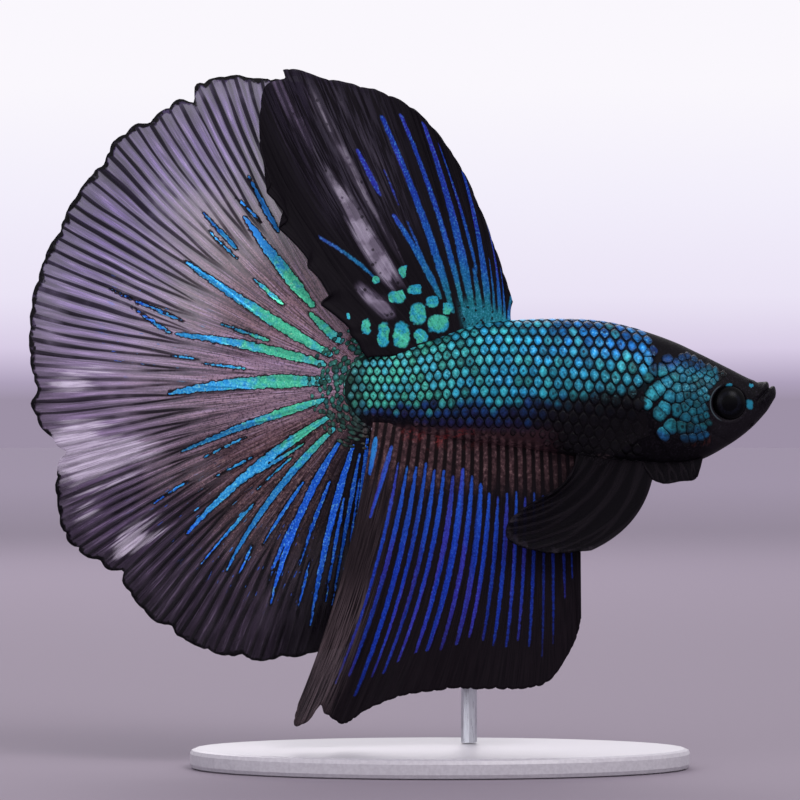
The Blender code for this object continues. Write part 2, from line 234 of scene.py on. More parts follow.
# ---- smooth curves through a few stations ----
def smooth(knots, values, at):
    last = len(knots) - 1
    i = max(0, min(last - 1, sum(knot <= at for knot in knots) - 1))
    step = knots[i + 1] - knots[i]
    share = min(max((at - knots[i]) / step, 0.0), 1.0)

    def slope(j):
        a, b = max(j - 1, 0), min(j + 1, last)
        return (values[b] - values[a]) / (knots[b] - knots[a])

    rise = share * share * (3 - 2 * share)
    rise_in = share * (1 - share) ** 2
    rise_out = share * share * (share - 1)
    straight = values[i] * (1 - rise) + values[i + 1] * rise
    return straight + step * (rise_in * slope(i) + rise_out * slope(i + 1))


FINE = 600


def fine_rays(rays):
    """Each column of a ray table, read smoothly at many places."""
    columns = list(zip(*rays, strict=True))
    places = np.linspace(0, len(rays) - 1, FINE + 1)
    return [np.array([smooth(range(len(c)), c, p) for p in places]) for c in columns]


def fine_shares(pairs):
    """A smooth curve through (u, share) pairs, kept as a ray table is."""
    places = np.linspace(0, 1, FINE + 1)
    knots, values = zip(*pairs, strict=True)
    return [places, np.array([smooth(knots, values, p) for p in places])]


def read_ray(fine, u):
    place = clamp01(u) * FINE
    i = min(int(place), FINE - 1)
    share = place - i
    return [float(column[i] * (1 - share) + column[i + 1] * share) for column in fine]


def clamp01(value):
    return min(max(value, 0.0), 1.0)


def soft_step(low, high, value):
    share = clamp01((value - low) / (high - low))
    return share * share * (3 - 2 * share)


def off_centre(x, z, centre):
    """How far (x, z) is from a centre, as seen from the side."""
    return math.hypot(x - centre[0], z - centre[-1])


def hump(value, centre, width):
    return math.exp(-(((value - centre) / width) ** 2))


SNOUT_X, STALK_END_X = BODY_STATIONS[-1][0], BODY_STATIONS[0][0]


# ---- the body's form ----
BODY_STEP, ARC_STEP, LATTICE_STEP = 0.05, 0.4, 0.1  # how far apart the tables are read along x
BODY_XS = np.arange(BODY_STATIONS[0][0], BODY_STATIONS[-1][0] + BODY_STEP / 2, BODY_STEP)


def section_at(x):
    knots = [station[0] for station in BODY_STATIONS]
    columns = list(zip(*BODY_STATIONS, strict=True))[1:]
    back, belly, half_width = (smooth(knots, column, x) for column in columns)
    arc_x, arc_z = STALK_ARC_CENTRE
    if x < arc_x:
        chord = math.sqrt(max(STALK_ARC_RADIUS**2 - (arc_x - x) ** 2, 0.0))
        back, belly = min(back, arc_z + chord), max(belly, arc_z - chord)
    return back, belly, half_width


SECTIONS = np.array([section_at(float(x)) for x in BODY_XS])


def body_section(x):
    place = min(max((x - BODY_XS[0]) / BODY_STEP, 0.0), len(BODY_XS) - 1.001)
    i = int(place)
    share = place - i
    ends = zip(SECTIONS[i], SECTIONS[i + 1], strict=True)
    return [float(a * (1 - share) + b * share) for a, b in ends]


def section_point(x, turn, inset=0.0):
    """A point of the body's surface in millimetres: turn goes round from the left side, up."""
    back, belly, half_width = body_section(x)
    waist = belly + WAIST_SHARE * (back - belly)
    side, up = math.cos(turn), math.sin(turn)
    power = 2 / SECTION_POWER
    y = max(half_width - inset, 0.0) * math.copysign(abs(side) ** power, side)
    height = (back if up > 0 else belly) - waist
    reach = max(abs(height) - inset, 0.0) * math.copysign(abs(up) ** power, up)
    return Vector((x, y, waist + reach))


QUARTER = np.linspace(0, math.pi / 2, 41)


def arc_table(x):
    """How far the skin's way is from the waist, at each turn up (first) and down (second)."""
    tables = []
    for way in (1, -1):
        points = np.array([section_point(x, way * t)[1:] for t in QUARTER])
        steps = np.hypot(*np.diff(points, axis=0).T)
        tables.append(np.concatenate(([0.0], np.cumsum(steps))))
    return tables


ARC_XS = np.arange(-9.6, 33.5, ARC_STEP)
ARC_TABLES = [arc_table(float(x)) for x in ARC_XS]


def arc_tables_at(x):
    place = min(max((x - ARC_XS[0]) / ARC_STEP, 0.0), len(ARC_XS) - 1.001)
    i = int(place)
    share = place - i
    return [ARC_TABLES[i][k] * (1 - share) + ARC_TABLES[i + 1][k] * share for k in (0, 1)]


def turn_at(x, arc):
    up, down = arc_tables_at(x)
    if arc >= 0:
        return float(np.interp(arc, up, QUARTER))
    return -float(np.interp(-arc, down, QUARTER))


def arc_at(x, turn):
    """The signed way along the skin from the waist, the same on both sides."""
    turn = math.atan2(math.sin(turn), abs(math.cos(turn)))
    up, down = arc_tables_at(x)
    if turn >= 0:
        return float(np.interp(turn, QUARTER, up))
    return -float(np.interp(-turn, QUARTER, down))


def shrink(x):
    """How large the scales are at x, as a share of those on the trunk's middle."""
    trunk = (1 - STALK_SHARE) * soft_step(-7.0, 6.0, x)
    return STALK_SHARE + trunk + 0.13 * soft_step(8.0, 20.0, x)


LATTICE_XS = np.arange(30.0, -10.5, -LATTICE_STEP)
LATTICE_STEPS = [LATTICE_STEP / (SCALE_PITCH * shrink(float(x))) for x in LATTICE_XS[:-1]]
LATTICE_COLUMNS = np.concatenate(([0.0], np.cumsum(LATTICE_STEPS)))


def column_at(x):
    return float(np.interp(-x, -LATTICE_XS, LATTICE_COLUMNS))


def column_x(column):
    return float(np.interp(column, LATTICE_COLUMNS, LATTICE_XS))


# ---- the head's relief ----
def off_segment(px, pz, a, b):
    """How far (px, pz) is from the segment a-b, and how far along it the nearest point is."""
    ax, az = a
    dx, dz = b[0] - ax, b[1] - az
    share = clamp01(((px - ax) * dx + (pz - az) * dz) / (dx * dx + dz * dz))
    return math.hypot(px - ax - share * dx, pz - az - share * dz), share


def head_relief(point):
    """How far the skin stands out at a point of the head."""
    x, y, z = point
    from_gill = off_centre(x, z, GILL_CENTRE)
    off_mid = soft_step(0.9, 2.2, abs(y))
    behind = 1.0 if x < GILL_CENTRE[0] else 0.0
    below_crown = 1 - soft_step(GILL_CENTRE[1] + 3.2, GILL_CENTRE[1] + 4.6, z)
    edge = GILL_RADIUS - from_gill
    lid = (0.16 * soft_step(-0.05, 0.12, edge) - 0.08) * hump(edge, 0.0, 0.7)
    relief = behind * off_mid * below_crown * lid
    relief -= 0.10 * behind * off_mid * below_crown * hump(from_gill, CHEEK_RADIUS, 0.16)
    gape, along = off_segment(x, z, MOUTH_TIP, MOUTH_CORNER)
    relief -= (0.32 - 0.22 * along) * hump(gape, 0.0, 0.12)
    relief += 0.14 * hump(x, 32.45, 0.42) * soft_step(37.3, 38.0, z)
    relief -= 0.09 * hump(x, 31.7, 0.2) * soft_step(37.9, 38.5, z)
    relief += 0.13 * hump(gape, 0.38, 0.2) * (1 - soft_step(0.75, 1.0, along))
    from_nostril = math.hypot(x - NOSTRIL[0], abs(y) - NOSTRIL[1])
    relief += 0.05 * hump(from_nostril, 0.26, 0.12) - 0.22 * hump(from_nostril, 0.0, 0.15)
    from_eye = off_centre(x, z, EYE_CENTRE)
    beside_eye = soft_step(1.2, 1.8, abs(y))
    relief += 0.08 * beside_eye * hump(from_eye, EYE_RADIUS + 0.22, 0.2)
    relief -= 1.3 * beside_eye * (1 - soft_step(EYE_RADIUS - 0.42, EYE_RADIUS - 0.02, from_eye))
    return relief


def skin_point(x, turn):
    """A point of the finished skin, which lies under the scales by the coat's depth."""
    coated = 1 - soft_step(20.0, 24.5, x)
    point = section_point(x, turn, COAT_DEPTH * coated)
    if x < 18:
        return point
    ahead = section_point(min(x + 0.02, SNOUT_X), turn) - section_point(x - 0.02, turn)
    beside = section_point(x, turn + 0.01) - section_point(x, turn - 0.01)
    out = ahead.cross(beside)
    out = out.normalized() if out.length > 0 else Vector((1, 0, 0))
    if out.dot(Vector((0.0, math.cos(turn), math.sin(turn)))) < 0:
        out = -out
    return point + out * head_relief(point)


def ring_share(share):
    """Rings lie closer together on the head than on the tail stalk."""
    return share * 0.55 + 0.45 * (1 - (1 - share) ** 2.4)


def make_skin():
    around, along = 176, 300
    bm = bmesh.new()
    bmesh.ops.create_uvsphere(bm, u_segments=around, v_segments=along, radius=1.0)
    lattice = bm.verts.layers.float_vector.new("lattice")
    length = SNOUT_X - STALK_END_X
    for vert in bm.verts:
        polar = math.acos(min(max(vert.co.z, -1.0), 1.0)) / math.pi
        x = STALK_END_X + length * ring_share(1 - polar)
        turn = math.atan2(vert.co.y, vert.co.x)
        at_pole = math.hypot(vert.co.x, vert.co.y) < 1e-4
        point = skin_point(x, turn)
        if at_pole:
            point = Vector((x, 0.0, sum(body_section(x)[:2]) / 2))
        vert.co = point * MM
        vert[lattice] = (column_at(x), arc_at(x, turn) / (ROW_PITCH * shrink(x)), 0.0)
    return finish_piece(bm, "skin", skin_finish())


# ---- pieces ----
def finish_piece(bm, name, finish):
    bmesh.ops.recalc_face_normals(bm, faces=bm.faces)
    mesh = bpy.data.meshes.new(name)
    bm.to_mesh(mesh)
    bm.free()
    mesh.shade_smooth()
    mesh.materials.append(finish)
    piece = bpy.data.objects.new(name, mesh)
    bpy.context.scene.collection.objects.link(piece)
    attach(piece, "root")
    return piece


# ---- fins ----
def ray_line(root, tip, bow, v):
    """The point at v on a ray that is bowed to one side."""
    way = tip - root
    across = Vector((-way.y, way.x)).normalized()
    return root + way * v + across * (4 * bow * v * (1 - v))


def lobes(u, count, depth, seed):
    """How far the margin is cut back at u: uneven lobes, and slower wear."""
    warped = u + 0.35 / count * noise.noise((u * count * 0.31, seed, 5.5))
    lobe = math.floor(count * warped)
    share = 0.35 + 0.65 * abs(noise.noise((lobe * 0.73, seed, 1.9))) * 2
    small = abs(math.sin(math.pi * count * warped))
    slow = noise.noise((u * 17, seed, 3.1)) + 0.6 * noise.noise((u * 43, seed, 7.7))
    teeth = abs(noise.noise((u * count * 2.3, seed, 9.1)))
    return depth * (share * (1 - small**0.5) + 0.35 * teeth + 0.3 * (1 + slow))


def tongues(v):
    """How far the dorsal fin's torn rear edge stands out at v: slow rise, sharp end."""
    out = 0.0
    for peak, depth, length in DORSAL_TONGUES:
        rise = clamp01((v - peak + length) / length) ** 1.7
        out = max(out, depth * rise * (1 - soft_step(peak, peak + 0.06, v)))
    return out


def worn_ray(fine, root, cut, u, v):
    """The point at v on the ray at u of a fin whose margin is cut back there."""
    tip_x, tip_z, bow = read_ray(fine, u)
    tip = Vector((tip_x, tip_z))
    tip += (root - tip).normalized() * cut * soft_step(0.5, 1.0, v)
    return ray_line(root, tip, bow, v)


TAIL_FINE = fine_rays(TAIL_RAYS)
DORSAL_FINE = fine_rays(DORSAL_RAYS)
ANAL_FINE = fine_rays(ANAL_RAYS)
DORSAL_SHARES_FINE = fine_shares(DORSAL_BASE_SHARES)


def tail_point(u, v):
    tip_turn, reach, bow = read_ray(TAIL_FINE, u)
    tip_turn = math.radians(tip_turn)
    cut = lobes(u, *TAIL_LOBES) + sum(depth * hump(u, at, 0.006) for at, depth in TAIL_NOTCHES)
    for start, full, last_full, end, height in TAIL_SWELLS:
        cut -= height * soft_step(start, full, u) * (1 - soft_step(last_full, end, u))
    reach -= cut * soft_step(0.5, 1.0, v)
    first, last = TAIL_ROOT_TURN
    root_turn = math.radians(first + (last - first) * u)
    centre = Vector(STALK_ARC_CENTRE)
    root = centre + TAIL_ROOT_RADIUS * Vector((math.cos(root_turn), math.sin(root_turn)))
    tip = centre + reach * Vector((math.cos(tip_turn), math.sin(tip_turn)))
    flat = ray_line(root, tip, bow, v)
    lean = (TAIL_LEAN * (1 - 2 * u) ** 2 + 0.2) * v
    ripple = TAIL_RIPPLE * v * v * math.sin(2 * math.pi * (3.2 * u + 0.1))
    pleat = 0.14 * v * math.cos(2 * math.pi * TAIL_STEMS * 2 * u)
    return Vector((flat.x, lean + ripple + pleat, flat.y))


def dorsal_point(u, v):
    front, rear = DORSAL_BASE_X
    share = read_ray(DORSAL_SHARES_FINE, u)[1]
    root_x = front + (rear - front) * share
    root_side = DORSAL_ROOT_SIDE * share**3
    root = Vector((root_x, body_section(root_x)[0] - ROOT_DEPTH))
    cut = lobes(u, *DORSAL_LOBES)
    cut += 0.9 * soft_step(0.762, 0.768, u) * (1 - soft_step(0.77, 0.84, u))
    flat = worn_ray(DORSAL_FINE, root, cut, u, v)
    flat.x += (0.35 - tongues(v)) * soft_step(0.93, 1.0, u) * soft_step(0.04, 0.12, v)
    lean = root_side + DORSAL_LEAN * u**2 * v**0.8
    ripple = 0.35 * v * math.sin(2 * math.pi * 2.5 * u)
    pleat = 0.1 * v * math.cos(2 * math.pi * DORSAL_STEMS * u)
    return Vector((flat.x, -lean + ripple + pleat, flat.y))


def anal_point(u, v):
    front, rear = ANAL_BASE_X
    root_x = front + (rear - front) * u
    root_side = ANAL_ROOT_SIDE * u**3
    root = Vector((root_x, body_section(root_x)[1] + ROOT_DEPTH))
    cut = lobes(u, *ANAL_LOBES) + 1.1 * hump(u, 0.862, 0.014)
    flat = worn_ray(ANAL_FINE, root, cut, u, v)
    lean = root_side + ANAL_LEAN * u**2 * v
    ripple = 0.4 * v * math.sin(2 * math.pi * 3 * u)
    pleat = 0.08 * v * math.cos(2 * math.pi * ANAL_STEMS * u)
    return Vector((flat.x, -lean + ripple + pleat, flat.y))


def paired_point(fine, base, sides, side, u, v):
    tip_x, tip_z, bow = read_ray(fine, u)
    root = Vector(base[0]).lerp(Vector(base[1]), u)
    flat = ray_line(root, Vector((tip_x, tip_z)), bow, v)
    off = sides[0] + (sides[1] - sides[0]) * v
    pleat = 0.025 * v * math.cos(2 * math.pi * 10 * u)
    return Vector((flat.x, side * (off + pleat), flat.y))


def sail_thickness(u, v):
    return 0.2 + 0.5 * (1 - v) ** 6


def make_fin(name, point, grid, finish, fields=(), thickness=sail_thickness):
    """A sheet of rays from point(u, v), with u and v as its UV map and its fields as attributes."""
    across, along = grid
    bm = bmesh.new()
    bmesh.ops.create_grid(bm, x_segments=across, y_segments=along, size=1.0)
    rays = bm.loops.layers.uv.new("rays")
    layers = [bm.verts.layers.float.new(field) for field, _ in fields]
    thick = bm.verts.layers.deform.verify()
    us = [clamp01((vert.co.x + 1) / 2) for vert in bm.verts]
    vs = [clamp01((vert.co.y + 1) / 2) for vert in bm.verts]
    spots = [point(u, v) for u, v in zip(us, vs, strict=True)]
    columns = [round(u * across) for u in us]
    rows = [round(v * along) for v in vs]
    sheet = np.zeros((across + 1, along + 1, 3))
    sheet[columns, rows] = spots
    pitch = np.linalg.norm(np.gradient(sheet, axis=0), axis=2) * across
    reach = np.linalg.norm(np.gradient(sheet, axis=1), axis=2) * along
    shares = np.linspace(0, 1, across + 1), np.linspace(0, 1, along + 1)
    net = np.meshgrid(*shares, indexing="ij")
    values = [field(*net, pitch, reach) for _, field in fields]
    for i, vert in enumerate(bm.verts):
        vert.co = spots[i] * MM
        vert[thick][0] = thickness(us[i], vs[i])
        for layer, value in zip(layers, values, strict=True):
            vert[layer] = value[columns[i], rows[i]]
        for loop in vert.link_loops:
            loop[rays].uv = (us[i], vs[i])
    piece = finish_piece(bm, name, finish)
    piece.vertex_groups.new(name="thickness")
    solidify = piece.modifiers.new("thickness", "SOLIDIFY")
    solidify.thickness = 1.0 * MM
    solidify.offset = 0.0
    solidify.vertex_group = "thickness"
    solidify.thickness_vertex_group = 0.0
    return piece


# ---- finishes ----
class Value:
    """What one of a material's nodes gives, so that sums and products are written as such."""

    def __init__(self, nodes, socket):
        self.nodes, self.socket = nodes, socket

    def __add__(self, other):
        return self.nodes.math("ADD", self, other)

    def __sub__(self, other):
        return self.nodes.math("SUBTRACT", self, other)

    def __rsub__(self, other):
        return self.nodes.math("SUBTRACT", other, self)

    def __mul__(self, other):
        return self.nodes.math("MULTIPLY", self, other)

    __radd__, __rmul__ = __add__, __mul__


class Nodes:
    """Builds a material's nodes with short calls, each of which gives back a Value.

    Colours are given by their screen values, 0 to 255.
    """

    def __init__(self, name):
        self.material = bpy.data.materials.new(name)
        self.material.use_nodes = True
        self.tree = self.material.node_tree

    def put(self, socket, value):
        if isinstance(value, Value):
            self.tree.links.new(value.socket, socket)
        elif socket.type == "RGBA":
            socket.default_value = (*srgb(*value), 1.0)
        else:
            socket.default_value = value

    def finish(self, **values):
        """Sets the material's shader, and gives back the material."""
        shader = self.tree.nodes["Principled BSDF"]
        for name, value in values.items():
            self.put(shader.inputs[name.replace("_", " ")], value)
        return self.material

    def node(self, kind, values, output=0, **settings):
        """A node of a kind, with its settings and its inputs' values; gives back an output."""
        node = self.tree.nodes.new("ShaderNode" + kind)
        for name, setting in settings.items():
            setattr(node, name, setting)
        for name, value in values.items():
            self.put(node.inputs[name], value)
        return Value(self, node.outputs[output])

    def math(self, kind, *values):
        return self.node("Math", dict(enumerate(values)), operation=kind)

    def most(self, value, *others):
        for other in others:
            value = self.math("MAXIMUM", value, other)
        return value

    def least(self, a, b):
        return self.math("MINIMUM", a, b)

    def size(self, value):
        """How large a value is, whatever its sign."""
        return self.math("ABSOLUTE", value)

    def length(self, a, b):
        return self.math("SQRT", a * a + b * b)

    def off_repeat(self, value, half=0.5):
        """How far a value is from the nearest whole number, or even one where half is 1."""
        return self.size(self.math("WRAP", value, half, -half))

    def step(self, value, low, high, to_high=1.0, to_low=0.0):
        """A soft step from to_low to to_high, while a value goes from low to high."""
        ends = (value, low, high, to_low, to_high)
        return self.node("MapRange", dict(enumerate(ends)), interpolation_type="SMOOTHSTEP")

    def mix(self, share, a, b, kind="MIX"):
        """Colour a with a share of colour b."""
        return self.node("Mix", {0: share, 6: a, 7: b}, 2, data_type="RGBA", blend_type=kind)

    def split(self, vector):
        x = self.node("SeparateXYZ", {0: vector})
        return [Value(self, output) for output in x.socket.node.outputs]

    def join(self, x, y, z=0.0):
        return self.node("CombineXYZ", {0: x, 1: y, 2: z})

    def place(self):
        """Object coordinates in millimetres."""
        place = self.node("TexCoord", {}, "Object")
        return self.node("VectorMath", {0: place, "Scale": 1 / MM}, operation="SCALE")

    def spot(self):
        """The place, and its x and z."""
        place = self.place()
        x, _, z = self.split(place)
        return place, x, z

    def rays(self):
        """Where a point is on its fin: u from ray to ray, v from root to tip."""
        return self.split(self.node("UVMap", {}, uv_map="rays"))[:2]

    def field(self, name, output="Fac"):
        return self.node("Attribute", {}, output, attribute_name=name)

    def grain(self, vector, scale, detail=2.0, rough=0.5):
        values = {"Vector": vector, "Scale": scale, "Detail": detail, "Roughness": rough}
        return self.node("TexNoise", values)

    def streaky(self, u, v, across, along, detail=2.0, rough=0.5):
        """Grain drawn out along a fin's rays."""
        return self.grain(self.join(u * across, v * along), 1.0, detail, rough)

    def cells(self, vector, scale):
        return self.node("TexVoronoi", {"Vector": vector, "Scale": scale}, "Distance")

    def bump(self, height, depth):
        return self.node("Bump", {"Height": height, "Distance": depth * MM})


def srgb(red, green, blue):
    """A colour from its screen values, 0 to 255."""
    values = [channel / 255 for channel in (red, green, blue)]
    return tuple(c / 12.92 if c < 0.04045 else ((c + 0.055) / 1.055) ** 2.4 for c in values)


BLACK = (8, 6, 10)
SOOT = (18, 15, 20)
TURQUOISE = (38, 150, 180)
SEA_GREEN = (62, 168, 150)
SKY_BLUE = (8, 84, 152)
ROYAL_BLUE = (20, 47, 152)
VIOLET = (24, 26, 62)
BARE_BELLY = (48, 30, 34)
# The ranges of x over which the flank's and the bare belly's markings come in.
BEHIND_GILL = (20.6, 20.2)
BEHIND_VENT = (13.0, 9.0)
# The lower edge of the black nape.
NAPE_LINE = ((20.7, 43.4), (21.6, 42.1), (22.3, 41.4), (25.2, 41.6), (26.6, 40.8), (30.5, 39.3))


def anal_base(x):
    """The height of the line along which the anal fin joins the body."""
    return 33.3 - 0.159 * x


def flushed(n, place, colour, where, mottle):
    """The red flush above and below the anal fin's base, laid over a colour."""
    red = where * n.step(n.grain(place, 0.9, 3.0), 0.42, 0.62) * n.step(mottle, 0.4, 0.6)
    return n.mix(red * 0.8, colour, (112, 40, 42))


def body_marking(n, turning):
    """The fish's own colours over its body, from the place on it, with a painted glint by the
    pelvic fin's root; turning makes it greener.
    """
    place, x, z = n.spot()
    drift = (n.grain(place, 0.4, 3.0) - 0.5) * 3.0
    low = z + drift
    colour = n.mix(n.step(x + drift, 6.0, -3.0), TURQUOISE, SEA_GREEN)
    upper = n.step(low, 39.8, 42.4) * n.step(x, 6.0, 14.0)
    colour = n.mix(upper, colour, SKY_BLUE)
    colour = n.mix(n.step(turning, 0.45, 0.95, 0.4), colour, SEA_GREEN)
    colour = n.mix(n.step(turning, 0.45, 0.05, 0.42), colour, (30, 128, 190))
    middle = n.step(x, 8.0, 14.0) * n.step(low, 40.2, 38.6)
    colour = n.mix(middle * 0.55, colour, (24, 92, 96))
    flank = n.step(x, *BEHIND_GILL)
    under = low + (turning - 0.5) * 1.3
    colour = n.mix(flank * n.step(under, 37.2, 35.6), colour, (20, 54, 104))
    colour = n.mix(flank * n.step(under, 35.7, 34.3), colour, VIOLET)
    crown = n.step(x, 20.4, 21.2) * n.step(low, 38.0, 40.6)
    colour = n.mix(crown * 0.95, colour, (4, 28, 78))
    jowl = n.step(x, 20.6, 21.0) * n.step(low, 34.4, 33.2) * 0.7
    colour = n.mix(jowl, colour, (30, 60, 132))
    cheek = n.step(x, 20.8, 24.5) * n.step(low, 40.6, 38.0, 1.0, 0.3) * 0.66
    colour = n.mix(cheek, colour, (12, 52, 64))
    lobe = n.step(x, 22.9, 21.9) * n.step(x, 20.3, 20.7) * n.step(low, 39.0, 37.4)
    colour = n.mix(lobe * n.step(low, 33.2, 34.6, 0.4), colour, (60, 178, 204))
    falling = low + n.step(x, 8.0, 20.0) * -1.6
    belly = n.step(x, 6.0, 12.0) * n.step(falling, 37.0, 35.4)
    behind_gill = x - n.most(35.8 - z, 0.0) * 0.56
    belly = belly * n.step(behind_gill, 20.35, 20.15)
    colour = n.mix(belly * 0.97, colour, BLACK)
    bare = n.step(z + drift * 0.4, 34.6, 33.4) * n.step(x, *BEHIND_VENT)
    colour = n.mix(bare, colour, BARE_BELLY)
    above_fin = z - anal_base(x)
    rib = n.off_repeat((14.0 - x) * 1.16) * 2.0
    mottle = n.grain(place, 2.6, 3.0, 0.7)
    ribbed = n.mix(n.step(rib, 0.25, 0.75), (92, 66, 69), (26, 17, 20))
    ribbed = n.mix(n.step(mottle, 0.5, 0.36, 0.7), ribbed, (22, 14, 16))
    ribbed = n.mix(n.step(mottle, 0.52, 0.68, 0.5), ribbed, (128, 98, 100))
    band = n.step(above_fin + drift * 0.3, 1.1, 0.35) * n.step(x, *BEHIND_VENT)
    colour = n.mix(band * 0.75, colour, ribbed)
    red = n.step(x, -4.5, -3.0) * n.step(x, 5.0, 2.0) * n.step(z, 34.4, 33.6)
    colour = flushed(n, place, colour, red, mottle)
    # Painted highlight: a pale glint on the lower flank by the pelvic fin's root.
    painted_glint = spot_mask(n, x, z, ((16.2, 31.2, 0.8, 0.34),), 0.2) * n.step(mottle, 0.44, 0.6)
    colour = n.mix(painted_glint * 0.6, colour, (150, 128, 130))
    colour = n.mix(n.step(x, -6.5, -9.0) * 0.8, colour, (42, 86, 76))
    throat = n.step(x, 20.2, 20.9) * n.step(z, 33.2, 32.4)
    snout = n.step(x, 27.3, 27.8)
    return n.mix(n.most(throat, snout), colour, BLACK)


def lattice_cell(n, column, row):
    """1 inside a scale's place on the staggered lattice, falling to 0 between them."""
    nets = []
    for shift in (0.0, 1.0):
        along = n.off_repeat(column + shift / 2)
        across = n.off_repeat(row + shift, 1.0)
        nets.append(along * 1.7 + across * 0.95)
    return n.step(n.least(*nets), 0.98, 0.78)


def spot_mask(n, x, z, spots, soft=0.5, power=2.0):
    """1 inside any of the oval spots (x, z, half width, half height); a high power squares them."""
    mask = 0.0
    for spot_x, spot_z, wide, tall in spots:
        dx, dz = (x - spot_x) * (1 / wide), (z - spot_z) * (1 / tall)
        sides = [n.math("POWER", n.size(side), power) for side in (dx, dz)]
        mask = n.most(mask, n.step(sides[0] + sides[1], 1.0, soft**power))
    return mask


def skin_finish():
    """The bare skin of the head and belly, and what shows between the scales."""
    n = Nodes("black_skin")
    place, x, z = n.spot()
    column, row, _ = n.split(n.field("lattice", "Vector"))
    cell = lattice_cell(n, column, row)
    coat = n.step(x, *BEHIND_GILL) * 0.05
    bare = n.step(z, 34.6, 33.2) * n.step(x, *BEHIND_VENT)
    between = n.mix(bare, BLACK, BARE_BELLY)
    marking = n.mix(n.most(cell * coat, bare), between, body_marking(n, 0.5))
    streaked = n.step(n.grain(n.join(x * 2.6, z * 0.7), 1.0), 0.5, 0.62)
    blush = spot_mask(n, x, z, ((26.2, 32.6, 1.6, 0.8),), 0.3) * streaked * 0.3
    marking = n.mix(blush, marking, (92, 44, 36))
    jaw = n.step(x, 25.5, 28.0) * n.step(z, 37.0, 35.0) * 0.6
    marking = n.mix(jaw, marking, (26, 23, 28))
    spots = ((30.8, 36.35, 0.44, 0.56), (31.0, 38.25, 0.24, 0.28), (28.7, 38.3, 0.46, 0.2))
    wavy = (n.grain(place, 2.0) - 0.5) * 0.5
    spot = spot_mask(n, x + wavy, z - wavy, spots)
    colour = n.mix(spot * 0.85, marking, (34, 116, 142))
    dx, dz = x - EYE_CENTRE[0], z - EYE_CENTRE[2]
    off_eye = n.length(dx, dz)
    # Painted highlight: a thin pale crescent on the orbit's rim, behind the eye.
    orbit_highlight = n.step(n.size(off_eye - (EYE_RADIUS + 0.16)), 0.09, 0.03) * n.step(dx, -0.6, -1.3)
    colour = n.mix(orbit_highlight * 0.22, colour, (110, 130, 140))
    freckle = n.grain(place, 5.0, 4.0, 0.6)
    freckled = n.step(freckle, 0.5, 0.7, n.step(z, 39.0, 41.0, 0.16, 0.35))
    colour = n.mix(freckled, colour, (44, 40, 50))
    return n.finish(
        Base_Color=colour,
        Roughness=n.step(freckle, 0.2, 0.8, 0.65, 0.42),
        Normal=n.bump(freckle, 0.035),
        Specular_IOR_Level=0.04,
    )


def scale_finish():
    """Scales with a painted highlight on the core, painted shade toward the rim, painted glints on
    the upper scales, grains and a black rim, each in its own tone.
    """
    n = Nodes("iridescent_scales")
    place, x, z = n.spot()
    tone = n.field("tone")
    rim = n.field("rim")
    speck = n.grain(place, 4.6, 3.0, 0.7)
    turning = n.math("FRACT", tone * 5.3)
    blotch = n.grain(place, 2.1)
    base = body_marking(n, turning)
    colour = n.mix(n.step(tone, 0.25, 0.95, 0.66), base, BLACK)
    # Painted highlight: the core of each scale and its light grains are brightened.
    lift = n.mix(1.0, colour, n.mix(0.75, BLACK, base), "ADD")
    highlight_core = n.step(rim, 0.62, 0.2) * n.step(blotch, 0.42, 0.6)
    colour = n.mix(n.most(highlight_core * 0.6, n.step(speck, 0.5, 0.7, 0.5)), colour, lift)
    # Painted glints: pale cyan flecks on the scales above the belly, fewer on the crown.
    glint = n.step(speck, 0.55, 0.7) * n.step(tone, 0.6, 0.2, 0.7)
    glint = glint * (1.0 - n.step(x, 20.6, 21.6, 0.8) * n.step(z, 37.6, 39.6))
    colour = n.mix(glint * n.step(z, 36.2, 38.4), colour, (134, 208, 222))
    colour = n.mix(n.step(blotch, 0.5, 0.32, 0.5), colour, BLACK)
    colour = n.mix(n.step(speck, 0.5, 0.3, 0.6), colour, BLACK)
    dot = n.step(rim, 0.34, 0.2) * n.step(n.math("FRACT", tone * 7.3), 0.78, 0.82)
    colour = n.mix(dot * 0.7, colour, BLACK)
    # Painted shade: each scale grows darker from its core toward its rim.
    colour = n.mix(n.step(rim, 0.3, 0.86, 0.5), colour, BLACK)
    colour = n.mix(n.step(rim, 0.79, 0.89, 0.98), colour, BLACK)
    upper = n.most(n.step(x, 20.4, 21.6) * n.step(z, 37.6, 39.6), n.step(z, 41.0, 43.0))
    return n.finish(
        Base_Color=colour,
        Metallic=n.step(upper, 0.0, 1.0, 0.55, 0.3),
        Roughness=n.step(speck, 0.2, 0.8, 0.6, 0.34),
        Coat_Weight=0.03,
        Normal=n.bump(speck, 0.03),
        Specular_IOR_Level=0.12,
    )


# ---- the coat of scales: each scale's walls as (facing, distance), in its own size ----
SCALE_WALLS = tuple(
    (math.radians(facing), distance)
    for facing, distance in (
        (34, 0.485),
        (-34, 0.485),
        (146, 0.515),
        (-146, 0.515),
        (180, 0.52),
        (90, 0.84),
        (-90, 0.84),
    )
)


# How far a plate is domed and tilted, how square its corners are, and how far in its rim starts.
SCALE_FORM = (0.062, 0.05, 6.0, 1.0)
CHEEK_FORM = (0.032, 0.02, 16.0, 0.91)
TAIL_ROOT_FORM = (0.04, 0.02, 3.5, 1.0)


def walled_reach(walls, turn, rounding):
    """How far a plate reaches at turn, inside walls given as (facing, distance)."""
    total = 0.0
    for facing, distance in walls:
        total += (max(math.cos(turn - facing), 0.0) / distance) ** rounding
    return total ** (-1 / rounding) if total > 0 else 1.0


